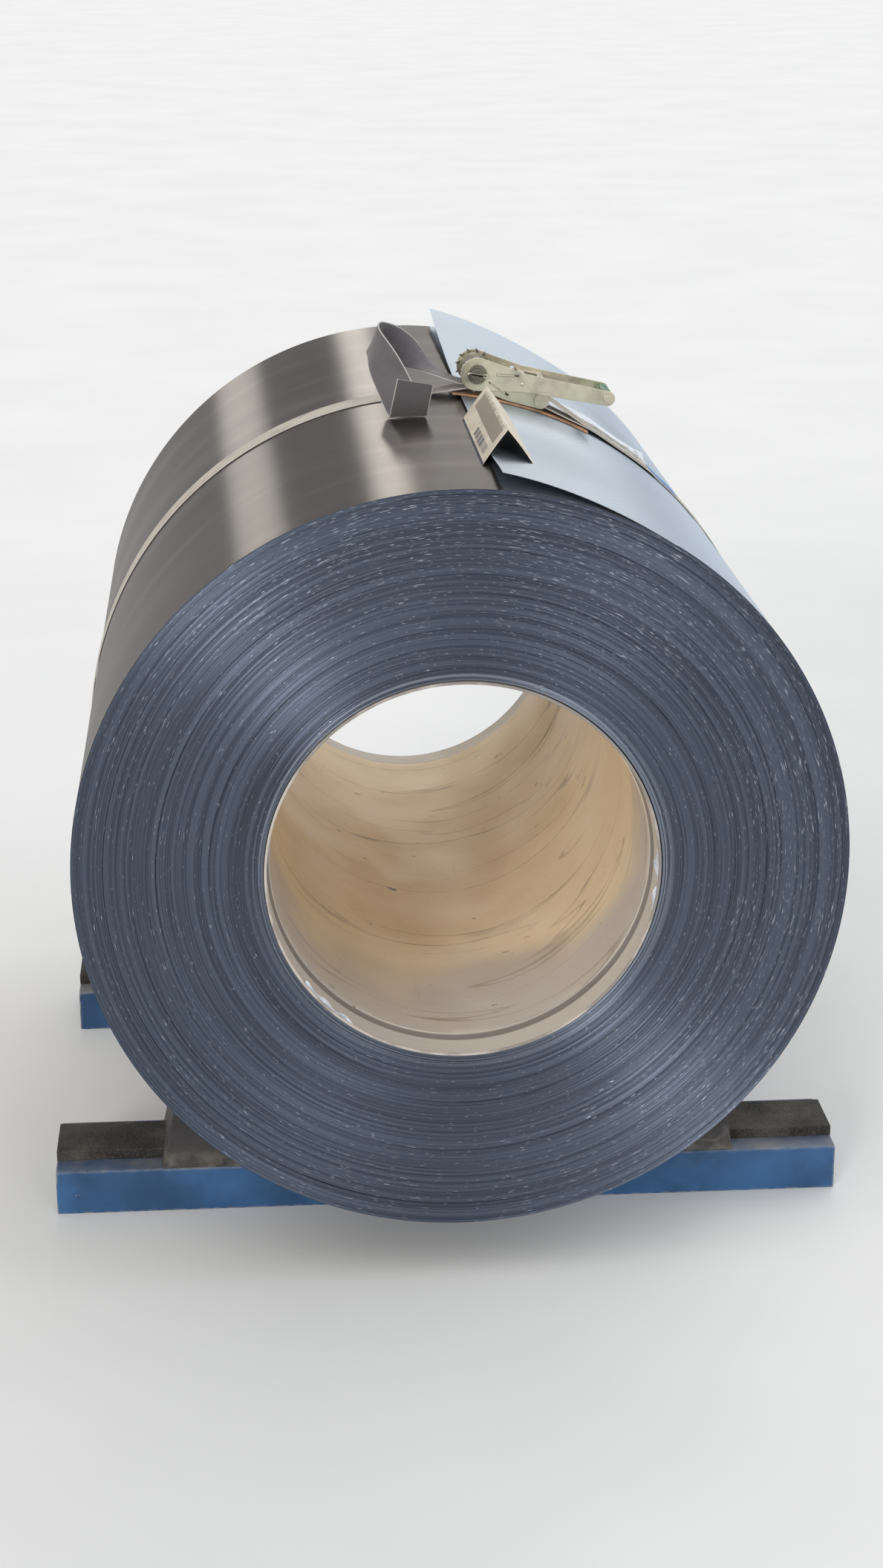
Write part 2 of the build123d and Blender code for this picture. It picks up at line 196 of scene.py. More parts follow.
def upright(x, z, y=0.0):
    """Points from their X and Z, at one Y."""
    return np.stack([x, np.full(len(x), y), z], 1)


def lap_lift(y):
    """How far the free end's edge stands off, a parabola through its near, middle and far lift."""
    t = y / HALF_WIDTH
    slope = (LAP_FAR_LIFT - LAP_NEAR_LIFT) / 2
    bow = (LAP_FAR_LIFT + LAP_NEAR_LIFT) / 2 - LAP_MIDDLE_LIFT
    return LAP_MIDDLE_LIFT + slope * t + bow * t * t


def lap_share(place):
    """The share of the way from the free end's root to its edge."""
    return np.clip((LAP_ROOT - place) / (LAP_ROOT - LAP_EDGE), 0, 1)


def pad_base(place):
    return LAP_MIDDLE_LIFT * lap_share(place) ** LAP_CURVE + 2 * SEAT_GAP


def label_base(place):
    """Over the pad, then down on the coil along a bell curve past the pad's end."""
    past = np.maximum(place - PAD_END, 0)
    return pad_base(place) + (PAD_THICKNESS + SEAT_GAP) * np.exp(-(past / PAD_STEP) ** 2)


def unit(rows):
    return rows / np.linalg.norm(rows, axis=1)[:, None]


def path_lengths(points):
    return np.r_[0, np.cumsum(np.linalg.norm(np.diff(points, axis=0), axis=1))]


def resample(points, step):
    """Points at even steps along a path, by its length."""
    lengths = path_lengths(points)
    wanted = np.linspace(0, lengths[-1], max(int(lengths[-1] / step), 2) + 1)
    return np.stack([np.interp(wanted, lengths, column) for column in points.T], 1)


def soften(points, passes):
    """Each point becomes the mean of itself and its neighbours, with the ends kept."""
    for _ in range(passes):
        points = points.copy()
        points[1:-1] = (points[:-2] + 2 * points[1:-1] + points[2:]) / 4
    return points


def natural_spline(values, wanted):
    """The natural cubic through values at even knots from 0 to 1: its second slopes solve one set
    of linear equations, and each span is the cubic that they give."""
    n = len(values)
    h = 1 / (n - 1)
    system = np.eye(n)
    right = np.zeros_like(values)
    inner = np.arange(1, n - 1)
    system[inner, inner - 1] = h / 6
    system[inner, inner] = 2 * h / 3
    system[inner, inner + 1] = h / 6
    right[1:-1] = (values[2:] - 2 * values[1:-1] + values[:-2]) / h
    bend = np.linalg.solve(system, right)
    k = np.minimum((wanted / h).astype(int), n - 2)
    b = ((wanted - k * h) / h)[:, None]
    a = 1 - b
    curve = (a ** 3 - a) * bend[k] + (b ** 3 - b) * bend[k + 1]
    return a * values[k] + b * values[k + 1] + curve * h * h / 6


# Meshes

def place_mesh(name, points, loops):
    """Links a smooth mesh of the points and the faces' lists of corners."""
    mesh = bpy.data.meshes.new(name)
    mesh.from_pydata(points.reshape(-1, 3).tolist(), [], loops)
    mesh.polygons.foreach_set("use_smooth", np.ones(len(mesh.polygons), bool))
    made = bpy.data.objects.new(name, mesh)
    bpy.context.scene.collection.objects.link(made)
    return made


def turn_outward(mesh):
    """Reverses a closed mesh whose volume comes out negative."""
    work = bmesh.new()
    work.from_mesh(mesh)
    if work.calc_volume(signed=True) < 0:
        bmesh.ops.reverse_faces(work, faces=work.faces)
        work.to_mesh(mesh)
    work.free()


def surface(name, points, close_rows=False, close_columns=False, caps=False, uv=None, sharp=None):
    """A mesh over a grid of points, one face a cell, wrapped round where it is closed and with flat
    ends where it has caps. uv holds one pair for each grid line, one more line where it is closed."""
    rows, columns = points.shape[:2]
    i, j = np.meshgrid(np.arange(rows - (not close_rows)), np.arange(columns - (not close_columns)),
                       indexing="ij")
    i, j = i.ravel(), j.ravel()
    cells = [(i, j), (i + 1, j), (i + 1, j + 1), (i, j + 1)]
    loops = np.stack([(a % rows) * columns + b % columns for a, b in cells], 1).tolist()
    if caps:
        loops.append(list(range(columns)))
        loops.append(list(range(rows * columns - 1, (rows - 1) * columns - 1, -1)))
    made = place_mesh(name, points, loops)
    if uv is not None:
        corners = np.stack([uv[a, b] for a, b in cells], 1).reshape(-1, 2)
        if caps:
            corners = np.concatenate([corners, uv[0, :columns], uv[rows - 1, :columns][::-1]])
        layer = made.data.uv_layers.new(name="length")
        layer.data.foreach_set("uv", corners.astype(np.float32).ravel())
    if close_columns and (caps or close_rows):
        turn_outward(made.data)
    if sharp is not None:
        made.data.set_sharp_from_angle(angle=math.radians(sharp))
    made.data.update()
    return made


def turned(name, radii, along, centre, **options):
    """A ring: each row is a circle of its radius at its place along Y, with a value for each segment.
    Its UV map holds the length along the profile and the length round."""
    segments = radii.shape[1]
    angles = np.linspace(0, TURN, segments, endpoint=False)
    points = np.stack([radii * np.sin(angles), along, centre + radii * np.cos(angles)], -1)
    steps = np.linalg.norm(np.roll(points, -1, axis=0) - points, axis=-1).mean(1)
    uv = np.zeros((len(radii) + 1, segments + 1, 2))
    uv[..., 0] = np.r_[0, np.cumsum(steps)][:, None]
    uv[..., 1] = np.linspace(0, TURN, segments + 1) * radii.max()
    return surface(name, points, close_rows=True, close_columns=True, uv=uv, **options)


def crease_rings(mesh, columns, rows):
    """Makes the edges that run round the given rows of a ring sharp."""
    ends = np.zeros(2 * len(mesh.edges), np.int32)
    mesh.edges.foreach_get("vertices", ends)
    ring = ends.reshape(-1, 2) // columns
    mesh.edges.foreach_set("use_edge_sharp", (ring[:, 0] == ring[:, 1]) & np.isin(ring[:, 0], rows))


def repeated(name, points):
    """One mesh of many like tubes: a grid of points for each, closed round its columns and with a
    flat face at both ends."""
    count, rows, columns = points.shape[:3]
    i, j = np.meshgrid(np.arange(rows - 1), np.arange(columns), indexing="ij")
    k = (j + 1) % columns
    quads = np.stack([i * columns + j, (i + 1) * columns + j, (i + 1) * columns + k, i * columns + k], -1)
    first = np.arange(count)[:, None] * rows * columns
    loops = (first[..., None] + quads.reshape(-1, 4)).reshape(-1, 4).tolist()
    loops += (first + np.arange(columns)).tolist()
    loops += (first + rows * columns - 1 - np.arange(columns)).tolist()
    made = place_mesh(name, points, loops)
    turn_outward(made.data)
    return made


def wire(path, across, radius, sides):
    """Points round a path: circles that lie square to it, from the way across it and their cross
    product."""
    out = np.cross(unit(np.gradient(path, axis=0)), across)
    turn = np.linspace(0, TURN, sides, endpoint=False)[:, None]
    return path[:, None] + radius * (np.cos(turn) * across[:, None] + np.sin(turn) * out[:, None])


def band_section(half, thick, edge_columns):
    """The outline of a strip's section, flat above and below with round edges: pairs of places
    across and out, going once round."""
    round_half = thick / 2
    flat = np.linspace(-1, 1, edge_columns) * (half - round_half)
    level = np.full(edge_columns, round_half)
    turn = np.linspace(math.pi / 2, -math.pi / 2, 5)[1:-1]
    side = half - round_half + round_half * np.cos(turn)
    rise = round_half * np.sin(turn)
    return np.stack([np.r_[flat, side, flat[::-1], -side], np.r_[level, rise, -level, -rise]], 1)


def swept(name, path, across, rib_pitch, rib_depth):
    """A strip of webbing carried along a path: at each point the section lies across the way given
    and out along the path's direction crossed with it. The ribs are a cosine of the length along it."""
    ahead = unit(np.gradient(path, axis=0))
    across = unit(across - (across * ahead).sum(1)[:, None] * ahead)
    out = np.cross(ahead, across)
    section = band_section(STRAP_HALF, STRAP_THICKNESS, STRAP_COLUMNS)
    length = path_lengths(path)
    swell = 1 - rib_depth * (1 - np.cos(TURN * length / rib_pitch)) / STRAP_THICKNESS
    points = (path[:, None] + section[None, :, :1] * across[:, None]
              + swell[:, None, None] * section[None, :, 1:] * out[:, None])
    uv = np.zeros((len(path), len(section) + 1, 2))
    uv[..., 0] = length[:, None]
    uv[..., 1] = np.r_[section[:, 0], section[0, 0]]
    return surface(name, points, close_columns=True, caps=True, uv=uv)


def polar_band(name, places, near, far, base, thick, **options):
    """A sheet that lies along the coil: rows at places along it, a flat section from near to far,
    its underside at the base height and its upper side a thickness over it."""
    across = np.linspace(0, 1, 9)
    place = places[:, None]
    low = np.stack(np.broadcast_arrays(place, near[:, None] + (far - near)[:, None] * across,
                                       base(place, across)), -1)
    ring = np.concatenate([low, low[:, ::-1] + [0, 0, thick]], 1)
    x, z = on_coil(ring[..., 0], ring[..., 2])
    uv = np.concatenate([ring[..., :2], ring[:, :1, :2]], 1)
    return surface(name, np.stack([x, ring[..., 1], z], -1), close_columns=True, caps=True, uv=uv, **options)


# Shader nodes

class Value:
    """The output of a node. A sum with another value or a number adds a Math node."""

    def __init__(self, nodes, socket):
        self.nodes = nodes
        self.socket = socket

    def __add__(self, other):
        return self.nodes.math("ADD", self, other)

    def __sub__(self, other):
        return self.nodes.math("SUBTRACT", self, other)

    def __mul__(self, other):
        return self.nodes.math("MULTIPLY", self, other)

    def __truediv__(self, other):
        return self.nodes.math("DIVIDE", self, other)

    def __abs__(self):
        return self.nodes.math("ABSOLUTE", self)


class Nodes:
    """Adds nodes to one tree."""

    def __init__(self, tree):
        self.tree = tree

    def connect(self, node, sockets):
        """Links or sets a node's inputs, by name or number. Returns its outputs by name."""
        for name, value in sockets.items():
            socket = node.inputs[name]
            if isinstance(value, Value):
                self.tree.links.new(value.socket, socket)
            elif socket.type == "RGBA":
                socket.default_value = (*value[:3], 1)
            else:
                socket.default_value = value
        return {socket.name: Value(self, socket) for socket in node.outputs}

    def add(self, kind, sockets=None, output=0, **settings):
        """Adds a node with its settings and inputs, and returns one of its outputs."""
        node = self.tree.nodes.new(kind)
        for name, value in settings.items():
            setattr(node, name, value)
        self.connect(node, sockets or {})
        return Value(self, node.outputs[output])

    def group(self, name, sockets):
        """Places a node group, which is built at its first use."""
        node = self.tree.nodes.new("ShaderNodeGroup")
        node.node_tree = bpy.data.node_groups.get(name) or build_group(name)
        return self.connect(node, sockets)

    def math(self, operation, a, b=0.0, clamp=False):
        return self.add("ShaderNodeMath", {0: a, 1: b}, operation=operation, use_clamp=clamp)

    def vector_math(self, operation, sockets, output=0):
        return self.add("ShaderNodeVectorMath", sockets, output, operation=operation)

    def split(self, vector):
        node = self.tree.nodes.new("ShaderNodeSeparateXYZ")
        return self.connect(node, {0: vector}).values()

    def join(self, x, y, z):
        return self.add("ShaderNodeCombineXYZ", {0: x, 1: y, 2: z})

    def noise(self, vector, scale, detail=4.0, roughness=0.55):
        sockets = {"Vector": vector, "Scale": scale, "Detail": detail, "Roughness": roughness}
        return self.add("ShaderNodeTexNoise", sockets, "Fac")

    def ramp(self, value, low, high, out_low=0.0, out_high=1.0, way="SMOOTHSTEP"):
        """The value's share of the way from low to high, held at both ends, on to another range."""
        sockets = {"Value": value, "From Min": low, "From Max": high, "To Min": out_low, "To Max": out_high}
        return self.add("ShaderNodeMapRange", sockets, interpolation_type=way)

    def between(self, value, low, high):
        """1 where the value lies between two limits, with soft edges."""
        soft = PRINT_EDGE
        return (self.ramp(value, low - soft, low, way="LINEAR")
                * self.ramp(value, high + soft, high, way="LINEAR"))

    def mix(self, factor, a, b):
        return self.add("ShaderNodeMix", {0: factor, 6: a, 7: b}, 2, data_type="RGBA")


def turn_lines(n, given):
    """Noise that runs round the coil's axis: the place is the cosine and sine of the angle, times
    the cells round, and the radius and the way along the axis, times the cells across."""
    x, y, z = n.split(given["Vector"])
    up = z - given["Axis Height"]
    flat = n.join(x, 0.0, up)
    radius = n.vector_math("LENGTH", {0: flat}, "Value")
    way = n.vector_math("NORMALIZE", {0: flat})
    side, _, rise = n.split(n.vector_math("SCALE", {0: way, "Scale": given["Round"]}))
    place = n.join(side, radius * given["Out"] + y * given["Along"], rise)
    return n.noise(place, 1.0, given["Detail"], 0.5), radius, n.math("ARCTAN2", x, up)


def edge_wear(n, given):
    """Where an edge is near, the rounded normal turns away from the true one; noise breaks it up."""
    rounded = n.add("ShaderNodeBevel", {"Radius": given["Width"]}, samples=4)
    true = n.add("ShaderNodeNewGeometry", output="Normal")
    turned_away = n.math("SUBTRACT", 1.0, n.vector_math("DOT_PRODUCT", {0: rounded, 1: true}, "Value"))
    broken = n.noise(given["Vector"], given["Grain"], 5.0, 0.5)
    return [n.math("MULTIPLY", turned_away, n.ramp(broken, 0.4, 0.65, 0.0, 14.0), clamp=True)]


def dust(n, given):
    """Dust lies where the surface faces up, thicker in patches."""
    up = list(n.split(n.add("ShaderNodeNewGeometry", output="Normal")))[2]
    patches = n.noise(given["Vector"], given["Patches"], 8.0, 0.65)
    cover = n.ramp(up, 0.2, 0.95) * n.ramp(patches, 0.3, 0.75)
    return [n.math("MULTIPLY", cover, given["Amount"], clamp=True)]


def weave(n, given):
    """Webbing: a rib is a sine of the length, the yarns in it a finer sine across, and the edges of the
    webbing are a border mask, which the webbing uses for a painted highlight on its edges."""
    along, across, _ = n.split(given["UV"])
    turns = along / given["Rib Pitch"]
    rib = n.math("SINE", turns * TURN)
    step = n.math("FLOOR", turns * 2.0) * 0.5
    yarn = n.math("SINE", (across / given["Yarn Pitch"] + step) * TURN)
    edge = abs(across) / given["Half Width"]
    return rib * 0.5 + yarn * 0.35, n.ramp(edge, 0.93, 0.97)


def print_bars(n, given):
    """A printed block: plain bars of uneven width along U, between two limits along U and along V."""
    u, v, _ = n.split(given["UV"])
    cell = n.math("FLOOR", u / given["Pitch"])
    chance = n.add("ShaderNodeTexWhiteNoise", {"W": cell}, "Value", noise_dimensions="1D")
    inside = n.between(u, given["From U"], given["To U"]) * n.between(v, given["From V"], given["To V"])
    return [inside * n.math("LESS_THAN", chance, given["Filled"])]


# Each group's filling, its inputs with their defaults (none for a vector), and its outputs
GROUPS = {
    "turn_lines": (turn_lines, {"Vector": None, "Axis Height": 0.0, "Round": 20.0, "Out": 800.0,
                                "Along": 0.0, "Detail": 2.0}, ("Value", "Radius", "Angle")),
    "edge_wear": (edge_wear, {"Vector": None, "Width": 0.002, "Grain": 60.0}, ("Mask",)),
    "dust": (dust, {"Vector": None, "Patches": 6.0, "Amount": 0.5}, ("Mask",)),
    "weave": (weave, {"UV": None, "Rib Pitch": 0.003, "Yarn Pitch": 0.0011, "Half Width": 0.025},
              ("Height", "Edge Highlight")),
    "print_bars": (print_bars, {"UV": None, "From U": 0.0, "To U": 1.0, "From V": 0.0, "To V": 1.0,
                                "Pitch": 0.002, "Filled": 0.5}, ("Mask",)),
}


def build_group(name):
    """Makes a shader node group with its named sockets and fills it."""
    fill, inputs, outputs = GROUPS[name]
    tree = bpy.data.node_groups.new(name, "ShaderNodeTree")
    for socket, value in inputs.items():
        kind = "NodeSocketVector" if value is None else "NodeSocketFloat"
        made = tree.interface.new_socket(socket, in_out="INPUT", socket_type=kind)
        if value is not None:
            made.default_value = value
    for socket in outputs:
        tree.interface.new_socket(socket, in_out="OUTPUT", socket_type="NodeSocketFloat")
    nodes = Nodes(tree)
    given = nodes.connect(tree.nodes.new("NodeGroupInput"), {})
    nodes.connect(tree.nodes.new("NodeGroupOutput"), dict(zip(outputs, fill(nodes, given))))
    return tree


# Materials

def shade(color, factor):
    return tuple(min(channel * factor, 1.0) for channel in color)


class Finish(Nodes):
    """A material in the making: its tone is covered layer by layer, and its shader is set last."""

    def __init__(self, name, color):
        self.made = bpy.data.materials.new(name + MADE)
        self.made.use_nodes = True
        super().__init__(self.made.node_tree)
        self.color = self.tone = tuple(color)
        self.place = self.add("ShaderNodeTexCoord", output="Object")

    def uv(self):
        return self.add("ShaderNodeTexCoord", output="UV")

    def spots(self, scale, detail=4.0, roughness=0.55):
        return self.noise(self.place, scale, detail, roughness)

    def turns(self, around, out, along=0.0, detail=2.0):
        return self.group("turn_lines", {"Vector": self.place, "Axis Height": AXIS_HEIGHT, "Round": around,
                                         "Out": out, "Along": along, "Detail": detail})

    def wear(self, width, grain):
        return self.group("edge_wear", {"Vector": self.place, "Width": width, "Grain": grain})["Mask"]

    def dusty(self, patches, amount):
        return self.group("dust", {"Vector": self.place, "Patches": patches, "Amount": amount})["Mask"]

    def woven(self, pitch):
        return self.group("weave", {"UV": self.uv(), "Rib Pitch": pitch, "Half Width": STRAP_HALF})

    def bars(self, uv, from_u, to_u, from_v, to_v, pitch=2 * MM, filled=0.5):
        return self.group("print_bars", {"UV": uv, "From U": from_u, "To U": to_u, "From V": from_v,
                                         "To V": to_v, "Pitch": pitch, "Filled": filled})["Mask"]

    def mottle(self, value, low, high, dark, light):
        """The colour times one factor where the value is low, and times another where it is high."""
        self.tone = self.mix(self.ramp(value, low, high), shade(self.color, dark), shade(self.color, light))

    def cover(self, mask, color):
        self.tone = self.mix(mask, self.tone, color)

    def stain(self, value, low, high, least, most, factor):
        """Covers the tone with the colour times a factor, more or less of it as the value goes from
        low to high."""
        self.cover(self.ramp(value, low, high, least, most), shade(self.color, factor))

    def close(self, rough, height, distance, strength, sockets=None):
        """Sets the shader: the tone, the roughness, and a bump from the height."""
        bump = {"Height": height, "Distance": distance, "Strength": strength}
        self.connect(self.tree.nodes["Principled BSDF"], {
            "Base Color": self.tone, "Roughness": rough, "Normal": self.add("ShaderNodeBump", bump),
            **(sockets or {})})
        return self.made

    def close_brushed(self, rough, height, distance, strength, metallic, spread):
        """The same with the gloss spread along the UV map's first axis, across the lines."""
        way = self.add("ShaderNodeTangent", direction_type="UV_MAP", uv_map="length")
        return self.close(rough, height, distance, strength,
                          {"Metallic": metallic, "Anisotropic": spread, "Tangent": way})


def strip_face(looks):
    """The wound edges of the turns: rings of darker and lighter laps that run right round, a fine line for
    each lap, paler inmost laps, and short bright dashes that are painted glints, thicker out from the bore
    and on the upper right."""
    m = Finish("strip_face", looks.face_color)
    rings = m.turns(0.3, 230.0)["Value"]
    laps = m.turns(0.9, 900.0)["Value"]
    bands = m.turns(0.3, 30.0)
    # Noise for the short bright dashes, which are painted glints on the turns' edges
    nicks = m.turns(34.0, 950.0, detail=1.0)["Value"]
    m.mottle(rings, 0.35, 0.65, 0.68, 1.22)
    m.stain(laps, 0.4, 0.7, 0.0, 0.5, 2.0)
    m.stain(bands["Value"], 0.5, 0.7, 0.0, 0.3, 1.6)
    seam = m.ramp(abs(rings - 0.47), 0.014, 0.0)
    m.cover(seam * 0.65, shade(m.color, 0.15))
    inner = m.ramp(bands["Radius"], BORE_RADIUS, BORE_RADIUS + looks.pale_turns, 0.9, 0.0)
    m.cover(inner * m.ramp(rings, 0.42, 0.62, 0.0, 0.45), looks.glint_and_pale_turn_color)
    # Where the painted glints lie thicker: out from the bore and on the upper right side
    outer = m.ramp(bands["Radius"], BORE_RADIUS + 0.03, COIL_RADIUS - 0.05, 0.35, 1.0)
    upper = m.ramp(m.math("COSINE", bands["Angle"] - 0.9), -0.4, 0.7, 0.45, 1.0)
    glint_density = outer * upper * m.ramp(m.spots(9.0), 0.25, 0.6, 0.35, 1.0)
    painted_glint = m.ramp(nicks - m.ramp(glint_density, 0.0, 1.0, 0.7, 0.635), 0.0, 0.09, 0.0, 0.75)
    m.cover(painted_glint, looks.glint_and_pale_turn_color)
    height = laps + rings * 1.5 + painted_glint * 0.5 - seam
    return m.close_brushed(m.ramp(laps, 0.25, 0.75, 0.36, 0.5), height, 0.5 * MM, 0.45, 0.75, 0.95)


def close_rolled(m):
    """The gloss of rolled steel: spread across the fine rolling lines, which stand out a little."""
    return m.close_brushed(0.295, m.turns(2.0, 0.0, 700.0)["Value"], 0.05 * MM, 0.06, 0.92, 0.92)


def strip_outside(looks):
    """The strip's wide side: satin rolled steel, dark brown with fine rolling lines and oil patches. Past the
    free end's edge, on the side towards +X, it takes the free end's pale tone, a painted reflection of light."""
    m = Finish("strip_outside", looks.outside_color)
    rolling = m.turns(2.0, 0.0, 700.0)
    patches = m.spots(3.0, 2.0, 0.5)
    m.stain(rolling["Value"], 0.3, 0.7, 0.25, 0.0, 0.4)
    m.stain(m.turns(1.0, 0.0, 14.0)["Value"], 0.45, 0.7, 0.0, 0.25, 2.2)
    m.stain(patches, 0.45, 0.8, 0.0, 0.4, 0.5)
    # The free end's pale tone, a painted reflection, is also laid on the outside from the free end's edge
    # onward
    light = looks.free_end_reflection_color
    pale = m.mix(m.ramp(patches, 0.45, 0.8, 0.0, 0.4), light, shade(light, 0.6))
    edge = LAP_EDGE / COIL_RADIUS
    past = m.ramp(rolling["Angle"], edge, edge + 0.01)
    m.cover(past * m.ramp(rolling["Angle"], 1.0, 2.2, 1.0, 0.0), pale)
    return close_rolled(m)


def strip_lap(looks):
    """The free end: satin steel in a pale tone that is a painted reflection of light, with two crossing sets
    of fine ripples and darker patches.
    """
    m = Finish("strip_lap", looks.free_end_reflection_color)
    along, across, _ = m.split(m.uv())
    lean = across * 1.6
    one = m.math("SINE", (along + lean) * (TURN / 0.017))
    two = m.math("SINE", (along - lean) * (TURN / 0.023))
    rippled = m.ramp(across, 0.1, 0.15) * m.ramp(across, 0.2, 0.26, 1.0, 0.0)
    rippled = rippled * m.ramp(m.spots(7.0, 1.0), 0.3, 0.65, 0.2, 1.0)
    m.mottle((one + two * 0.6) * rippled, -1.2, 1.2, 0.93, 1.05)
    m.stain(m.spots(3.0, 2.0, 0.5), 0.45, 0.8, 0.0, 0.4, 0.6)
    return close_rolled(m)


def core_board(looks):
    """Paperboard wound in a tube: winding seams as dark lines round it, fibres, stains, dashes, scuffs along
    it, and a paler, greyer step at each end. Painted shade greys the near end and the left side, darkens the
    slope behind each step and darkens the rim."""
    m = Finish("core_board", looks.board_color)
    fibres = m.turns(10.0, 0.0, 900.0, 3.0)["Value"]
    stains = m.spots(6.0, 8.0, 0.65)
    x, y, _ = m.split(m.place)
    end = abs(y)
    grey = looks.board_shade_color
    # The grey at the near end and on the left side is painted shade
    painted_shade_near_end = m.ramp(m.spots(2.2, 3.0), 0.3, 0.7, -0.25, 0.25) - y - x * 0.6
    m.cover(m.ramp(painted_shade_near_end, 0.15, 0.6), grey)
    m.stain(stains, 0.45, 0.75, 0.0, 0.35, 0.68)
    m.stain(fibres, 0.35, 0.7, 0.0, 0.15, 0.6)
    line = m.ramp(abs(m.turns(0.35, 0.0, 15.0, 1.0)["Value"] - 0.5), 0.012, 0.0)
    m.cover(line * m.ramp(stains, 0.35, 0.65, 0.1, 0.6), shade(m.color, 0.2))
    m.stain(m.turns(7.0, 0.0, 50.0, 3.0)["Value"], 0.69, 0.76, 0.0, 0.75, 0.12)
    m.stain(m.turns(30.0, 0.0, 4.0, 3.0)["Value"], 0.66, 0.8, 0.0, 0.22, 0.3)
    flat = HALF_WIDTH - CORE_STEP_DEPTH
    foot = flat - CORE_STEP_SLOPE
    m.cover(m.ramp(end, flat - 1 * MM, flat, 0.0, 0.85), looks.step_color)
    # The dark slope behind each step is painted shade
    slope = m.ramp(end, foot, foot + 3 * MM) * m.ramp(end, flat - 1 * MM, flat + 3 * MM, 0.85, 0.0)
    m.cover(slope, shade(grey, 0.3))
    # The dark rim is painted shade
    rim = m.ramp(end, HALF_WIDTH - 3 * MM, HALF_WIDTH - 1 * MM)
    m.cover(rim * m.ramp(m.spots(12.0), 0.4, 0.55, 0.25, 0.85), shade(grey, 0.35))
    return m.close(m.ramp(stains, 0.3, 0.7, 0.38, 0.62), fibres - line * 1.5, 0.3 * MM, 0.5)


def torn_paper(looks):
    """White lining paper: fibres, creases and grey dirt."""
    m = Finish("torn_paper", looks.label_color)
    dirt = m.spots(60.0, 6.0, 0.65)
    m.mottle(dirt, 0.45, 0.75, 1.0, 0.45)
    return m.close(m.ramp(dirt, 0.3, 0.7, 0.6, 0.8), m.spots(130.0), 1.5 * MM, 0.6)


def webbing(looks, name="webbing", color=None):
    """Ribbed polyester webbing, paler on its ribs and darker between them, grimy in patches, with a paler
    border that is a painted highlight on its edges.
    """
    m = Finish(name, color or looks.webbing_color)
    woven = m.woven(looks.rib_pitch)
    grime = m.spots(28.0, 6.0, 0.6)
    m.mottle(woven["Height"], -0.7, 0.7, 0.75, 1.1)
    m.stain(grime, 0.45, 0.75, 0.0, 0.5, 0.4)
    # The border is a painted highlight on the webbing's edges
    m.cover(woven["Edge Highlight"] * 0.75, looks.edge_highlight_and_thread_color)
    return m.close(m.ramp(grime, 0.3, 0.7, 0.55, 0.8), woven["Height"], 0.25 * MM, 0.7,
                   {"Sheen Weight": 0.25})


# The same webbing in a darker colour: painted shade on the loose tail and on the webbing wound on the spindle
def shaded_webbing(looks):
    return webbing(looks, "shaded_webbing", looks.tail_shade_color)


def sewing_thread(looks):
    """Sewing thread: pale grey, twisted, dirty in patches."""
    m = Finish("sewing_thread", looks.edge_highlight_and_thread_color)
    dirt = m.spots(80.0)
    m.mottle(dirt, 0.35, 0.65, 0.6, 1.0)
    return m.close(m.ramp(dirt, 0.3, 0.7, 0.5, 0.7), m.spots(1500.0, 2.0), 0.2 * MM, 0.5)


def strap_patch(looks):
    """The blue patch sewn over the webbing: coated cloth that shows the ribs, rubbed in places."""
    m = Finish("strap_patch", looks.patch_color)
    rub = m.spots(70.0, 6.0, 0.65)
    m.mottle(rub, 0.3, 0.7, 0.7, 1.3)
    m.cover(m.ramp(rub, 0.62, 0.7, 0.0, 0.7), looks.webbing_color)
    return m.close(m.ramp(rub, 0.3, 0.7, 0.35, 0.6), m.woven(looks.rib_pitch)["Height"], 0.25 * MM, 0.5)


def zinc_plate(looks, name="zinc_plate", color=None, tinted=0.7):
    """Yellow-passivated zinc on steel: warm and greenish patches, fine scratches, worn grey edges."""
    m = Finish(name, color or looks.plate_color)
    cloud = m.spots(38.0, 5.0, 0.6)
    stretched = m.add("ShaderNodeMapping", {"Vector": m.place, "Scale": (90, 400, 900)})
    scratch = m.noise(stretched, 1.0, 4.0, 0.6)
    m.mottle(cloud, 0.3, 0.7, 0.72, 1.1)
    m.cover(m.ramp(m.spots(16.0, 3.0, 0.5), 0.4, 0.6, 0.0, tinted), looks.tint_color)
    m.stain(scratch, 0.62, 0.7, 0.0, 0.4, 0.35)
    m.cover(m.wear(1.2 * MM, 140.0) * 0.6, looks.bare_color)
    return m.close(m.ramp(cloud, 0.3, 0.7, 0.28, 0.48), cloud + scratch, 0.12 * MM, 0.35, {"Metallic": 0.9})


def zinc_dark(looks):
    return zinc_plate(looks, "zinc_dark", looks.wheel_color, 0.2)


def grip_plastic(looks):
    m = Finish("grip_plastic", looks.grip_color)
    cloud = m.spots(60.0, 5.0)
    m.mottle(cloud, 0.3, 0.7, 0.7, 1.2)
    m.cover(m.wear(1.5 * MM, 200.0) * 0.5, shade(m.color, 2.6))
    return m.close(m.ramp(cloud, 0.3, 0.7, 0.28, 0.5), m.spots(900.0, 2.0), 0.08 * MM, 0.3)


def pad_hide(looks):
    """A strip of brown hide: pebbled grain, darker creases and a paler rubbed edge."""
    m = Finish("pad_hide", looks.hide_color)
    cells = m.add("ShaderNodeTexVoronoi", {"Vector": m.place, "Scale": 520.0}, "Distance",
                  feature="DISTANCE_TO_EDGE")
    cloud = m.spots(24.0, 6.0, 0.6)
    m.mottle(cloud, 0.3, 0.7, 0.6, 1.25)
    m.stain(cells, 0.0, 0.12, 0.55, 0.0, 0.3)
    m.cover(m.wear(2 * MM, 90.0) * 0.6, shade(m.color, 1.9))
    return m.close(m.ramp(cloud, 0.3, 0.7, 0.45, 0.7), cells, 0.3 * MM, 0.4)


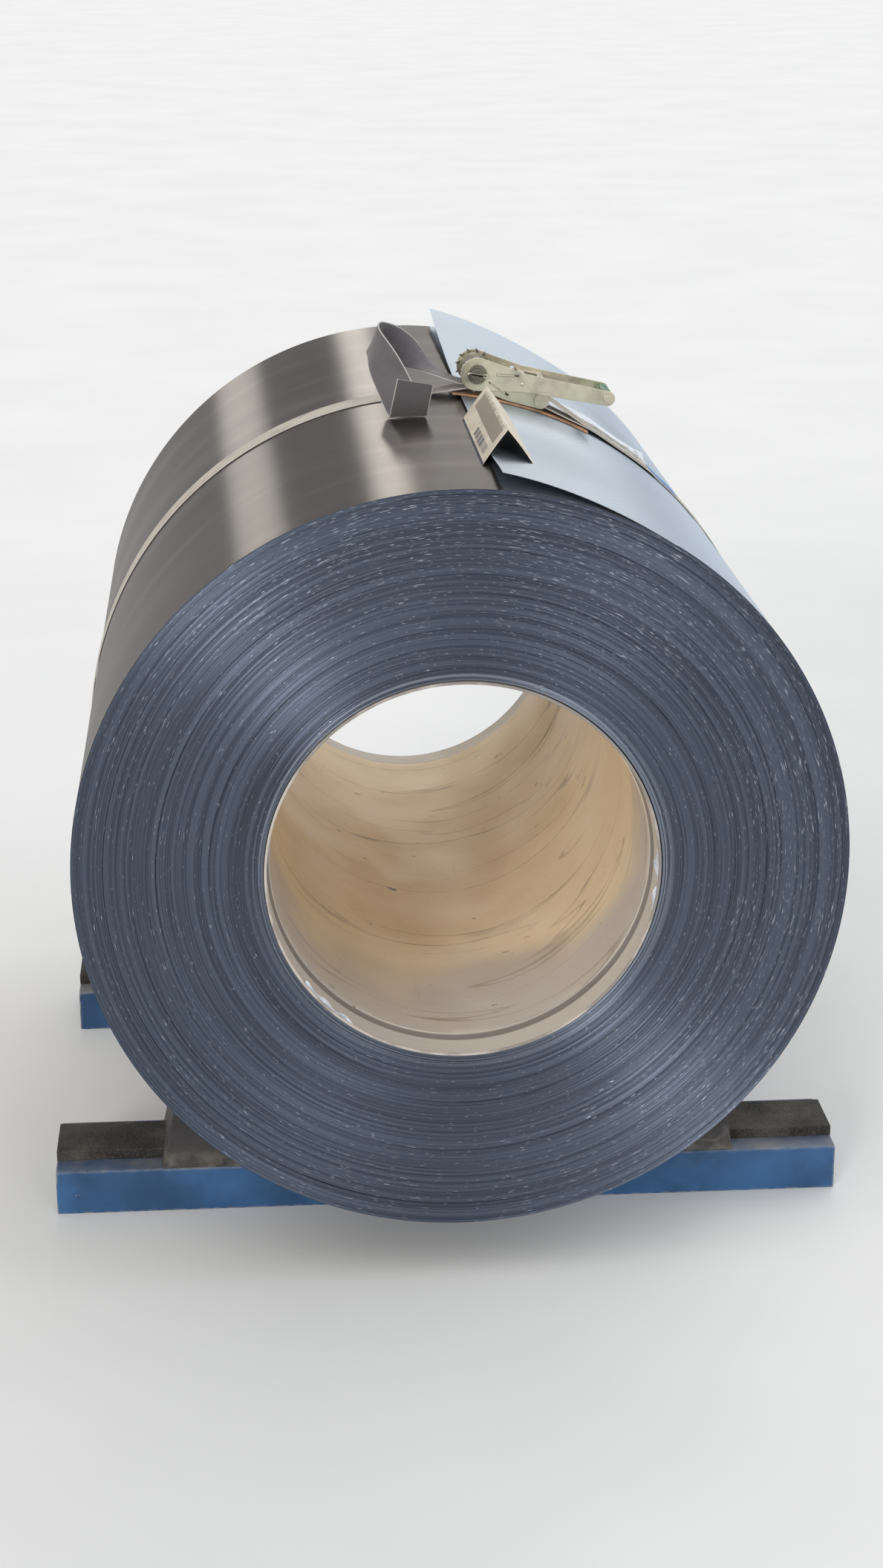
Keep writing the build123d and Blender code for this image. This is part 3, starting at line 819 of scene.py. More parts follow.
def label_paper(looks):
    """A sheet in a clear sleeve: pale paper, grey printed bars, a glossy coat with creases."""
    m = Finish("label_paper", looks.label_color)
    stretched = m.add("ShaderNodeMapping", {"Vector": m.place, "Scale": (18, 9, 18)})
    creases = m.noise(stretched, 1.0, 5.0)
    cloud = m.spots(14.0)
    m.mottle(cloud, 0.3, 0.7, 0.86, 1.0)
    u, v, _ = m.split(m.uv())
    uv = m.join(v, u, 0.0)
    bars = m.bars(uv, LABEL_NEAR + 0.02, LABEL_FAR - 0.02, LABEL_END - 0.035, LABEL_END - 0.027)
    rule = m.bars(uv, LABEL_NEAR + 0.01, LABEL_FAR - 0.01, LABEL_END - 0.018, LABEL_END - 0.01, 1.0, 2.0)
    m.cover(m.math("MAXIMUM", bars, rule * 0.5) * 0.8, looks.print_color)
    return m.close(m.ramp(cloud, 0.3, 0.7, 0.4, 0.6), creases + m.spots(45.0, 3.0) * 0.15, 4 * MM, 0.5,
                   {"Coat Weight": 0.5, "Coat Roughness": 0.16})


def tag_card(looks):
    """Cream board with a printed panel beside its fold, plain bars along its foot, and a dark band of painted
    shade along its left foot.
    """
    m = Finish("tag_card", looks.card_color)
    uv = m.uv()
    fibres = m.spots(420.0)
    cloud = m.spots(22.0, 5.0)
    m.mottle(cloud, 0.3, 0.7, 0.85, 1.08)
    m.stain(fibres, 0.4, 0.7, 0.0, 0.2, 0.6)
    m.cover(m.bars(uv, 0.02, 0.275, 0.028, 0.05, 1.0, 2.0) * 0.9, looks.panel_color)
    small = m.bars(uv, 0.02, 0.275, 0.0505, 0.0535, 1.5 * MM, 0.35)
    bars = m.bars(uv, 0.03, 0.17, 0.008, 0.02, 4 * MM, 0.6)
    m.cover(m.math("MAXIMUM", bars, small) * 0.85, looks.print_color)
    # A dark band along the left foot: painted shade
    m.cover(m.bars(uv, -0.01, 0.31, -0.01, 0.0035, 1.0, 2.0), looks.tag_shade_color)
    m.cover(m.wear(1.2 * MM, 160.0) * 0.5, shade(m.color, 1.5))
    return m.close(m.ramp(cloud, 0.3, 0.7, 0.5, 0.66), fibres, 0.1 * MM, 0.4)


def tag_inside_shade(looks):
    """The tag's inner side, dark with painted shade."""
    m = Finish("tag_inside_shade", looks.tag_shade_color)
    fibres = m.spots(420.0)
    m.mottle(fibres, 0.35, 0.65, 0.7, 1.3)
    return m.close(m.ramp(fibres, 0.3, 0.7, 0.5, 0.7), fibres, 0.1 * MM, 0.4)


def beam_paint(looks):
    """Blue paint on rolled steel: scuffed to primer along its edges, chipped, and dusty on top."""
    m = Finish("beam_paint", looks.beam_color)
    cloud = m.spots(9.0, 7.0, 0.6)
    lying = m.dusty(7.0, 0.75)
    m.mottle(cloud, 0.3, 0.7, 0.65, 1.3)
    worn = m.math("MULTIPLY", m.wear(4 * MM, 70.0), 0.9, clamp=True)
    chipped = m.math("MAXIMUM", worn, m.ramp(m.spots(55.0, 6.0, 0.65), 0.7, 0.73))
    m.cover(chipped, looks.primer_color)
    m.cover(lying, looks.dust_color)
    return m.close(m.ramp(cloud, 0.3, 0.7, 0.35, 0.55) + lying * 0.35, cloud * 0.5 - chipped, 0.4 * MM, 0.5)


def slab_rubber(looks):
    """Pressed rubber granules: dark crumbs, pits between them and grey dust in the pits."""
    m = Finish("slab_rubber", looks.slab_color)
    crumbs = m.add("ShaderNodeTexVoronoi", {"Vector": m.place, "Scale": 260.0, "Randomness": 1.0}, "Distance")
    m.mottle(crumbs, 0.1, 0.6, 1.5, 0.5)
    m.cover(m.ramp(m.spots(12.0, 7.0, 0.65), 0.4, 0.7, 0.0, 0.4), shade(looks.dust_color, 0.5))
    m.cover(m.dusty(9.0, 0.4) * 0.7, shade(looks.dust_color, 0.7))
    return m.close(0.88, crumbs, 0.9 * MM, 0.8)


def chock_plastic(looks):
    """Moulded recycled plastic: mottled near black, fine pits, a few paler folds, rubbed edges and a
    dusty foot."""
    m = Finish("chock_plastic", looks.chock_color)
    cloud = m.spots(16.0, 7.0, 0.65)
    m.mottle(cloud, 0.3, 0.7, 0.6, 1.6)
    fold = m.ramp(abs(m.spots(9.0, 2.0) - 0.5), 0.02, 0.0) * m.ramp(cloud, 0.45, 0.6)
    m.cover(fold * 0.6, shade(m.color, 4.0))
    m.cover(m.wear(3 * MM, 60.0) * 0.5, shade(m.color, 4.0))
    _, _, up = m.split(m.place)
    foot = m.ramp(up, CHOCK_FOOT + 0.04, CHOCK_FOOT, 0.0, 0.5) * m.ramp(m.spots(20.0, 6.0, 0.65), 0.4, 0.65)
    m.cover(m.math("MAXIMUM", m.dusty(8.0, 0.35), foot), shade(looks.dust_color, 0.75))
    return m.close(m.ramp(cloud, 0.3, 0.7, 0.5, 0.75), m.spots(240.0) + cloud + fold, 0.8 * MM, 0.5)


FINISHES = {make.__name__: make for make in (
    strip_face, strip_outside, strip_lap, core_board, torn_paper, webbing, shaded_webbing, sewing_thread,
    strap_patch, zinc_plate, zinc_dark, grip_plastic, pad_hide, label_paper, tag_card, tag_inside_shade,
    beam_paint, slab_rubber, chock_plastic)}


def finish(name):
    """The material of that name, made at its first use."""
    return bpy.data.materials.get(name + MADE) or FINISHES[name](bpy.context.scene.coil_looks)


def dress(piece, body, slot, *finishes):
    """Gives a new piece its materials and its body. The slot is not used."""
    for name in finishes:
        piece.data.materials.append(finish(name))
    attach(piece, body)


def smooth_to_angle():
    """Geometry nodes that shade a mesh smooth up to an angle."""
    tree = bpy.data.node_groups.get("smooth_to_angle")
    if tree:
        return tree
    tree = bpy.data.node_groups.new("smooth_to_angle", "GeometryNodeTree")
    for way in ("INPUT", "OUTPUT"):
        tree.interface.new_socket("Geometry", in_out=way, socket_type="NodeSocketGeometry")
    n = Nodes(tree)
    given = n.connect(tree.nodes.new("NodeGroupInput"), {})["Geometry"]
    angle = n.add("GeometryNodeInputMeshEdgeAngle", output="Unsigned Angle")
    shallow = n.add("FunctionNodeCompare", {0: angle, 1: math.radians(28)}, operation="LESS_THAN")
    faces = n.add("GeometryNodeSetShadeSmooth", {"Geometry": given, "Shade Smooth": True}, domain="FACE")
    edges = n.add("GeometryNodeSetShadeSmooth", {"Geometry": faces, "Shade Smooth": shallow}, domain="EDGE")
    n.connect(tree.nodes.new("NodeGroupOutput"), {0: edges})
    return tree


def modify(piece, name, kind, **settings):
    made = piece.modifiers.new(name, kind)
    for setting, value in settings.items():
        setattr(made, setting, value)


def give_wall(piece, name, thickness, **settings):
    """Thickens a sheet inward and shades it smooth up to an angle."""
    modify(piece, name, "SOLIDIFY", thickness=thickness, **settings)
    modify(piece, "smooth", "NODES", node_group=smooth_to_angle())


def finish_node(name, material, edge):
    """Gives a CAD node its material, joins its loose triangles, and rounds its sharp edges."""
    node = frame["nodes"][name]
    node.data.materials.clear()
    node.data.materials.append(finish(material))
    modify(node, "joined", "WELD", merge_threshold=0.01 * MM)
    modify(node, "flat", "DECIMATE", decimate_type="DISSOLVE", angle_limit=math.radians(0.3))
    modify(node, "smooth", "NODES", node_group=smooth_to_angle())
    if edge:
        modify(node, "rounded", "BEVEL", width=edge, segments=2, limit_method="ANGLE",
               angle_limit=math.radians(35), harden_normals=True)


# Sizes and colours

def color_property(name, description, default):
    return FloatVectorProperty(name=name, description=description, subtype="COLOR", min=0.0, max=1.0,
                               default=default)


def length_property(name, description, default):
    return FloatProperty(name=name, description=description, unit="LENGTH", default=default)


class CoilLooks(bpy.types.PropertyGroup):
    """Sizes and colours of the coil and what is on it"""
    face_color: color_property("Wound edges", "Colour of the turns' edges", (0.066, 0.08, 0.11))
    outside_color: color_property("Strip", "Colour of the strip's wide side", (0.13, 0.114, 0.102))
    # The free end's pale tone is a painted reflection on the same steel as the strip's wide side
    free_end_reflection_color: color_property("Free end", "Colour of the strip's free end", (0.45, 0.51, 0.575))
    # The colour of the painted glints on the turns' edges, and of the paler inmost turns
    glint_and_pale_turn_color: color_property("Nicks", "Colour of nicks and of the inmost turns", (0.46, 0.5, 0.57))
    pale_turns: length_property("Pale turns", "How far out the pale inmost turns reach", 0.02)
    turn_count: IntProperty(name="Turn ridges", description="Ridges on each end of the coil", default=150)
    turn_relief: length_property("Turn relief", "How much the turns stand out of line", 0.0005)
    board_color: color_property("Core", "Colour of the paperboard core", (0.85, 0.69, 0.47))
    # The grey of the painted shade in the core: its near end, the slope behind each step and its rim
    board_shade_color: color_property("Core grey", "Colour of the core's greyed near end", (0.5, 0.455, 0.42))
    step_color: color_property("Core ends", "Colour of the step at each end of the core", (0.52, 0.47, 0.42))
    webbing_color: color_property("Webbing", "Colour of the strap", (0.44, 0.38, 0.3))
    # The colour of the painted highlight on the webbing's edges, and of the sewing thread
    edge_highlight_and_thread_color: color_property("Webbing edge", "Colour of the webbing's border and of the thread",
                                       (0.55, 0.53, 0.49))
    # The tail's darker colour is painted shade on the same webbing
    tail_shade_color: color_property("Tail", "Colour of the strap's loose tail", (0.105, 0.095, 0.1))
    patch_color: color_property("Patch", "Colour of the patch sewn over the strap", (0.06, 0.2, 0.5))
    rib_pitch: length_property("Rib pitch", "Distance between the webbing's ribs", 0.003)
    rib_depth: length_property("Rib depth", "Depth between the webbing's ribs", 0.0001)
    plate_color: color_property("Zinc plate", "Colour of the buckle", (0.54, 0.48, 0.38))
    tint_color: color_property("Zinc tint", "Colour of the greener patches of the plating", (0.6, 0.59, 0.42))
    bare_color: color_property("Bare zinc", "Colour of the plating's worn edges", (0.62, 0.61, 0.58))
    wheel_color: color_property("Wheels", "Colour of the wheels and the spindle", (0.11, 0.1, 0.08))
    grip_color: color_property("Grip", "Colour of the roller in the handle", (0.015, 0.12, 0.05))
    plate_edge: length_property("Plate edge", "Rounding of the buckle's edges", 0.0004)
    hide_color: color_property("Pad", "Colour of the pad under the buckle", (0.43, 0.24, 0.13))
    label_color: color_property("Label", "Colour of the label sheet", (0.7, 0.75, 0.82))
    card_color: color_property("Tag", "Colour of the folded tag", (0.66, 0.59, 0.48))
    panel_color: color_property("Tag panel", "Colour of the panel printed on the tag", (0.24, 0.19, 0.15))
    # The tag's dark inner side is painted shade; the same colour is painted shade along its left foot
    tag_shade_color: color_property("Tag inside", "Colour of the tag's inner side", (0.05, 0.055, 0.075))
    print_color: color_property("Print", "Colour of the printed bars", (0.1, 0.1, 0.11))
    beam_color: color_property("Beam", "Colour of the beams' paint", (0.018, 0.076, 0.185))
    primer_color: color_property("Primer", "Colour of the beams' primer", (0.32, 0.3, 0.27))
    slab_color: color_property("Slab", "Colour of the rubber slabs", (0.028, 0.025, 0.023))
    chock_color: color_property("Chock", "Colour of the chocks", (0.026, 0.024, 0.024))
    dust_color: color_property("Dust", "Colour of the dust on the rack", (0.3, 0.27, 0.22))


class StageLooks(bpy.types.PropertyGroup):
    """Floor, light and camera"""
    floor_color: color_property("Floor", "Colour of the floor", (0.78, 0.78, 0.77))
    room_color: color_property("Room", "Colour of the room at the horizon", (0.8, 0.8, 0.79))
    shade_color: color_property("Room shade", "Colour of the room above the horizon", (0.32, 0.33, 0.35))
    side_color: color_property("Room side", "Colour of the room on the right", (0.82, 0.88, 0.95))
    backdrop_color: color_property("Backdrop", "Colour that the camera sees behind the floor",
                                   (0.86, 0.86, 0.85))
    world_strength: FloatProperty(name="Room light", description="Strength of the light from all round",
                                  default=1.0)
    lamp_strength: FloatProperty(name="Lamps", description="Factor on the strength of all lamps", default=1.0)
    lens: FloatProperty(name="Lens", description="Focal length on a frame 36 mm high",
                        subtype="DISTANCE_CAMERA", default=62.0)


# Pieces

class MakeCoil(bpy.types.Operator):
    """The wound strip: its two ends with their turns, its outside and its bore"""
    bl_idname = "coil.turns"
    bl_label = "Turns"

    def execute(self, context):
        looks = context.scene.coil_looks
        rng = np.random.default_rng(11)
        segments = 256
        angles = np.linspace(0, TURN, segments, endpoint=False)
        widths = rng.lognormal(0, 0.6, looks.turn_count)
        shares = np.r_[0, np.cumsum(widths)] / widths.sum()
        radii = BORE_RADIUS + (COIL_RADIUS - BORE_RADIUS) * shares
        near = -HALF_WIDTH + self.turn_depth(rng, shares, angles, looks.turn_relief)
        far = HALF_WIDTH - self.turn_depth(rng, shares, angles, looks.turn_relief)
        along = np.linspace(-HALF_WIDTH, HALF_WIDTH, 34)[1:-1]
        sag = self.outside_wave(rng, along, angles)
        face = np.tile(radii[:, None], segments)
        radii_grid = np.concatenate([face, COIL_RADIUS + sag, face[::-1]])
        along_grid = np.concatenate([near, np.tile(along[:, None], segments), far[::-1]])
        piece = turned("coil_turns", radii_grid, along_grid, AXIS_HEIGHT)
        count = len(radii)
        rows = np.arange(len(radii_grid))
        crease_rings(piece.data, segments, rows[(rows < count) | (rows >= count + len(along))])
        outside = (rows >= count - 1) & (rows < count + len(along))
        dress(piece, "coil_on_rack", "strip_steel", "strip_face", "strip_outside")
        piece.data.polygons.foreach_set("material_index", np.repeat(outside, segments).astype(np.int32))
        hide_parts("steel_coil")
        return {"FINISHED"}

    @staticmethod
    def turn_depth(rng, shares, angles, relief):
        """How far each ridge lies back: slow waves from the bore outward, plus a random depth that
        swells and sinks slowly round the coil."""
        depth = np.abs(rng.normal(0, 1, (len(shares), 1)))
        swell = np.ones((len(shares), len(angles)))
        for order in (1, 2, 3, 5):
            size = rng.normal(0, 0.3, (len(shares), 1))
            phase = rng.uniform(0, TURN, (len(shares), 1))
            swell += size * np.cos(order * angles + phase)
        slow = np.zeros_like(swell)
        for order in (2, 3, 5, 8):
            phase = rng.uniform(0, TURN, 2)
            sway = 0.4 * np.cos(angles + phase[0])
            slow += np.cos(order * math.pi * shares[:, None] + sway + phase[1]) / order
        depth = (np.clip(depth * swell, 0, 2.6) + 1.5 * (slow - slow.min())) * relief
        depth[-1] = 0
        return depth

    @staticmethod
    def outside_wave(rng, along, angles):
        """The outside's slight waves: a sum of low waves along and round it, never above the coil."""
        wave = np.zeros((len(along), len(angles)))
        for order in range(1, 6):
            phase = rng.uniform(0, TURN, 2)
            wave += np.cos(order * angles + phase[0]) * np.cos(order * 5 * along[:, None] + phase[1]) / order
        return 0.12 * MM * (wave - 2.3)


class MakeFreeEnd(bpy.types.Operator):
    """The strip's free end, which springs off the coil at both corners"""
    bl_idname = "coil.free_end"
    bl_label = "Free end"

    def execute(self, context):
        places = LAP_EDGE + (LAP_ROOT - LAP_EDGE) * np.linspace(0, 1, 90) ** 0.9
        place, y = np.meshgrid(places, np.linspace(-HALF_WIDTH, HALF_WIDTH, 201), indexing="ij")
        loose = lap_share(place)
        height = lap_lift(y) * loose ** LAP_CURVE + 0.05 * MM + self.dents(place, y) * loose
        x, z = on_coil(place, height)
        piece = surface("free_end", np.stack([x, y, z], -1), uv=np.stack([y, place], -1))
        give_wall(piece, "strip", STRIP_THICKNESS, offset=-1)
        dress(piece, "coil_on_rack", "strip_steel", "strip_lap")
        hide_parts("steel_coil")
        return {"FINISHED"}

    @staticmethod
    def dents(place, y):
        """Soft bell-shaped dents beside the tag, and long low waves."""
        height = 0.5 * MM * np.sin(y * 31 + place * 22) * np.sin(y * 11 + 1.3)
        for p, q, wide, long, deep in LAP_DENTS:
            height -= deep * np.exp(-((place - p) / wide) ** 2 - ((y - q) / long) ** 2)
        return height


class MakeCore(bpy.types.Operator):
    """The paperboard core, with a step at each end and frayed rims"""
    bl_idname = "coil.core"
    bl_label = "Core"

    def execute(self, context):
        rng = np.random.default_rng(5)
        segments = 240
        angles = np.linspace(0, TURN, segments, endpoint=False)
        fray = self.fray(rng, angles)
        step = CORE_OUTSIDE - CORE_STEP_WALL
        inside = CORE_OUTSIDE - CORE_WALL
        ease = 0.6 * MM
        deep = HALF_WIDTH - CORE_STEP_DEPTH
        # Each row's radius, its place along Y and how much of the fray it takes
        rows = [(CORE_OUTSIDE, -HALF_WIDTH + ease, 0), (CORE_OUTSIDE - ease, -HALF_WIDTH, 1),
                (step + ease, -HALF_WIDTH, 1), (step, -HALF_WIDTH + ease, 1), (step, -deep, 0),
                (inside + ease, -deep + CORE_STEP_SLOPE, 0), (inside, -deep + CORE_STEP_SLOPE + ease, 0)]
        middle = [(inside, y, 0) for y in np.linspace(-deep + 30 * MM, deep - 30 * MM, 40)]
        back = [(r, -y, f) for r, y, f in rows[::-1]]
        outer = [(CORE_OUTSIDE, y, 0) for y in np.linspace(HALF_WIDTH - 0.02, -HALF_WIDTH + 0.02, 6)]
        radii, along, share = np.array(rows + middle + back + outer).T[..., None]
        wave = 0.35 * MM * np.cos(3 * angles + 4 * along) * np.cos(2 * angles + 1)
        radii = radii + np.where(np.abs(radii - inside) < 0.1 * MM, wave, 0)
        along = along - np.sign(along) * share * fray
        piece = turned("core_board_tube", radii, along, CORE_CENTRE, sharp=40)
        dress(piece, "coil_on_rack", "core_board", "core_board")
        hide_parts("core_tube")
        self.scraps(rng, step)
        return {"FINISHED"}

    @staticmethod
    def scraps(rng, step):
        """Torn bits of lining paper, which lie on the step at the near rim: each is a sheet between two
        angles, whose inner border is a random jagged line."""
        for number, (start, end, deep) in enumerate(TORN_BITS):
            angles = np.linspace(start, end, 40)
            jagged = np.abs(np.cumsum(rng.normal(0, 1, 40)))
            fade = np.sin(np.linspace(0.15, math.pi - 0.15, 40))
            length = deep * fade * (0.45 + 0.55 * jagged / jagged.max())
            share = np.linspace(0, 1, 8)[:, None]
            lift = (0.8 + 1.6 * np.sin(angles * 45) * share) * MM
            radius = step - lift - 1.2 * MM * share
            y = -HALF_WIDTH + 0.5 * MM + share * length
            points = np.stack([radius * np.sin(angles), y, CORE_CENTRE + radius * np.cos(angles)], -1)
            scrap = surface(f"torn_paper_{number + 1}", points)
            give_wall(scrap, "paper", 0.25 * MM)
            dress(scrap, "coil_on_rack", "label_paper", "torn_paper")
            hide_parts("core_tube")

    @staticmethod
    def fray(rng, angles):
        """How far the rim is worn back: many small waves, cut and raised to a power so that most of it
        stays whole."""
        wave = np.zeros(len(angles))
        for order in range(4, 40, 3):
            wave += rng.normal(0, 1) * np.cos(order * angles + rng.uniform(0, TURN))
        return 2.2 * MM * np.clip(wave / 8, 0, 1) ** 1.5


class MakeStrap(bpy.types.Operator):
    """The webbing round the coil and its loop round the frame's bolt"""
    bl_idname = "coil.strap"
    bl_label = "Strap"

    def execute(self, context):
        looks = context.scene.coil_looks
        step = looks.rib_pitch / 3
        path = resample(soften(resample(self.route(), 2 * MM), 6), step)
        line = upright(path[:, 0], path[:, 1])
        piece = swept("strap_webbing", line, np.tile([0.0, 1.0, 0.0], (len(line), 1)), looks.rib_pitch,
                      looks.rib_depth)
        dress(piece, "coil_on_rack", "webbing", "webbing")
        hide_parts("strap")
        top = path[-int(0.1 / step):]
        self.stitches(*coil_place(top[:, 0], top[:, 1]))
        self.patch(*coil_place(path[:, 0], path[:, 1]))
        return {"FINISHED"}

    @staticmethod
    def stitches(places, heights):
        """Zigzag seams over the sewn end. Each stitch is a spindle: its radius is the sine of the way
        along it, and it slants to one side and the other in turn."""
        first, last = places.min() + 6 * MM, places.max() - 6 * MM
        order = np.argsort(places)
        column, row = np.meshgrid(np.arange(9), np.arange(int((last - first) / STITCH_PITCH)))
        column, row = column.ravel()[:, None, None], row.ravel()[:, None, None]
        slant = np.where((row + column) % 2, 0.7, -0.7)
        t = np.linspace(0.2, math.pi - 0.2, 7)[:, None]
        turn = np.linspace(0, TURN, 6, endpoint=False)
        reach = -np.cos(t) * 3.1 * MM
        side = np.sin(t) * np.cos(turn) * 0.5 * MM
        place = first + row * STITCH_PITCH + reach * np.cos(slant) - side * np.sin(slant)
        across = (column - 4) * 5 * MM + reach * np.sin(slant) + side * np.cos(slant)
        base = np.interp(place, places[order], heights[order]) + STRAP_THICKNESS / 2
        x, z = on_coil(place, base + np.sin(t) * (0.3 + 0.5 * np.sin(turn)) * MM - 0.2 * MM)
        made = repeated("strap_stitches", np.stack([x, across, z], -1))
        dress(made, "coil_on_rack", "webbing", "sewing_thread")
        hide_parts("strap")

    @staticmethod
    def patch(places, heights):
        """The patch over the webbing between the sewn end and the coil."""
        spots = np.linspace(PATCH_START, PATCH_START + PATCH_LENGTH, 30)
        near = (places > PATCH_START - 0.01) & (places < PATCH_START + PATCH_LENGTH + 0.01)
        order = np.argsort(places[near])
        top = np.interp(spots, places[near][order], heights[near][order]) + STRAP_THICKNESS / 2 + 0.1 * MM
        edge = np.full(len(spots), STRAP_HALF - 1.5 * MM)
        made = polar_band("strap_patch", spots, -edge, edge, lambda place, across: top[:, None], 0.4 * MM)
        dress(made, "coil_on_rack", "webbing", "strap_patch")
        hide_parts("strap")

    @staticmethod
    def route():
        """The webbing's middle line in X and Z: round the roll on the spindle, straight down to the
        coil, round it, over pad and label, under and round the bolt, and back on top of itself."""
        half = STRAP_THICKNESS / 2
        place, height = coil_place(spindle.x, spindle.z)
        under = COIL_RADIUS + SEAT_GAP
        beside = under + 2 * STRAP_THICKNESS + WOUND_RADIUS
        leaves = place - COIL_RADIUS * math.acos(beside / (COIL_RADIUS + height))
        turn = np.linspace(0.1, 1.0, 30)
        roll = WOUND_RADIUS + half + STRAP_THICKNESS * turn
        angle = -leaves / COIL_RADIUS - math.pi / 2 * turn
        round_roll = spindle.x + roll * np.cos(angle), spindle.z + roll * np.sin(angle)
        straight = np.linspace(place, leaves, 30)[1:]
        run = on_coil(straight, (under + half) / np.cos((straight - leaves) / COIL_RADIUS) - COIL_RADIUS)
        settle = LABEL_END + STRAP_SETTLE
        ring = on_coil(np.linspace(leaves, settle - TURN * COIL_RADIUS, 1200)[1:], SEAT_GAP + half)
        bolt_x, bolt_z = in_buckle(BOLT_X, BOLT_Z)
        bolt_place, _ = coil_place(bolt_x, bolt_z)
        over = LABEL_THICKNESS + 3 * SEAT_GAP
        places = np.linspace(settle - 6 * MM, bolt_place + STRAP_LANDING, 60)
        out = on_coil(places, label_base(places) + over * (places < LABEL_END) + half)
        loop = BOLT_RADIUS + SEAT_GAP + half
        turn = bolt_place / COIL_RADIUS + math.pi * np.linspace(0, 1, 24)
        eye = bolt_x - loop * np.sin(turn), bolt_z - loop * np.cos(turn)
        sewn = bolt_place + STITCH_START
        places = np.linspace(sewn, min(sewn + STITCH_LENGTH, settle), 40)
        back = on_coil(places, label_base(places) + over + STRAP_THICKNESS + half)
        return np.concatenate([np.stack(part, 1) for part in (round_roll, run, ring, out, eye, back)])


class MakeTail(bpy.types.Operator):
    """The webbing wound on the spindle and its loose tail"""
    bl_idname = "coil.tail"
    bl_label = "Tail"

    def execute(self, context):
        looks = context.scene.coil_looks
        ribs = looks.rib_pitch, looks.rib_depth
        place, y, height = np.array(TAIL_ROUTE).T * MM
        x, z = on_coil(place, height)
        points = np.stack([x, y, z], 1)
        fine = np.linspace(0, 1, 1500)
        line = natural_spline(points, fine)
        border = natural_spline(points + unit(np.array(TAIL_ACROSS)) * STRAP_HALF, fine)
        both = resample(np.concatenate([line, border], 1), looks.rib_pitch / 2)
        tail = swept("strap_tail_webbing", both[:, :3], both[:, 3:] - both[:, :3], *ribs)
        dress(tail, "coil_on_rack", "webbing", "shaded_webbing")
        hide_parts("strap_tail")
        turn = np.linspace(0, WOUND_TURNS, 500) * TURN
        radius = WOUND_START + (WOUND_RADIUS - STRAP_THICKNESS / 2 - WOUND_START) * turn / turn[-1]
        roll = resample(np.stack([radius * np.cos(turn), radius * np.sin(turn)], 1), looks.rib_pitch / 3)
        line = upright(*in_buckle(roll[:, 0], roll[:, 1]))
        wound = swept("wound_webbing", line, np.tile([0.0, 1.0, 0.0], (len(line), 1)), *ribs)
        dress(wound, "coil_on_rack", "webbing", "shaded_webbing")
        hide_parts("strap_tail")
        return {"FINISHED"}


class MakeBuckle(bpy.types.Operator):
    """The ratchet buckle's plates, wheels, bars, bolts, handle and roller"""
    bl_idname = "coil.buckle"
    bl_label = "Buckle"

    def execute(self, context):
        edge = context.scene.coil_looks.plate_edge
        for name in ("ratchet_frame", "frame_bolt", "frame_pawl", "handle", "handle_bolt", "handle_pawl"):
            finish_node(name, "zinc_plate", edge)
        for name in ("ratchet_wheel_near", "ratchet_wheel_far", "spindle_upper", "spindle_lower",
                     "spindle_washer_near", "spindle_washer_far"):
            finish_node(name, "zinc_dark", edge)
        finish_node("handle_grip", "grip_plastic", 0)
        self.rivets()
        self.split_pins()
        return {"FINISHED"}

    @staticmethod
    def rivets():
        """A low dome on the outer side of each arm: rings that shrink as a quarter ellipse rises."""
        t = np.linspace(0, math.pi / 2 * 0.93, 8)[:, None]
        turn = np.linspace(0, TURN, 20, endpoint=False)
        radius = RIVET_RADIUS * np.cos(t)
        x, z = in_buckle(RIVET_X + radius * np.cos(turn), RIVET_Z + radius * np.sin(turn))
        y = np.broadcast_to(HANDLE_OUTER - 0.1 * MM + 1.3 * MM * np.sin(t), x.shape)
        both = np.stack([np.stack([x, -y, z], -1)[:, ::-1], np.stack([x, y, z], -1)])
        dress(repeated("handle_rivets", both), "handle", "zinc_plate", "zinc_plate")

    @staticmethod
    def split_pins():
        """A split pin through each end of the spindle: a round eye, a straight leg through the bar and
        a bent end."""
        turn = np.linspace(-2.6, 2.6, 24)
        eye = np.stack([11.5 + 2.6 * np.cos(turn), 2.6 * np.sin(turn)], 1)
        leg = np.stack([np.linspace(8.6, -11.5, 14), np.linspace(1.2, 0.6, 14)], 1)
        bend = np.array([[-12.6, 0.1], [-13.2, -1.2], [-13.2, -2.8]])
        path = soften(resample(np.concatenate([eye, leg, bend]) * MM, 0.8 * MM), 2)
        x, z = in_buckle(path[:, 0], path[:, 1])
        across = np.tile([0.0, 1.0, 0.0], (len(path), 1))
        both = np.stack([wire(upright(x, z, y), across, PIN_RADIUS, PIN_SIDES) for y in (-PIN_Y, PIN_Y)])
        dress(repeated("spindle_split_pins", both), "coil_on_rack", "zinc_plate", "zinc_plate")


class MakePad(bpy.types.Operator):
    """The strip of hide under the buckle"""
    bl_idname = "coil.pad"
    bl_label = "Pad"

    def execute(self, context):
        places = np.linspace(PAD_START, PAD_END, 120)
        notch = 5 * MM * np.exp(-((places - 0.155) / 0.006) ** 2)
        near = -PAD_HALF + 1.2 * MM * np.sin(places * 47) + notch
        far = PAD_HALF + 1.2 * MM * np.sin(places * 39 + 1)
        piece = polar_band("pad_hide_strip", places, near, far, lambda place, across: pad_base(place),
                           PAD_THICKNESS, sharp=50)
        modify(piece, "rounded", "BEVEL", width=0.7 * MM, segments=2, limit_method="ANGLE")
        dress(piece, "coil_on_rack", "pad_hide", "pad_hide")
        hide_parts("pad")
        return {"FINISHED"}


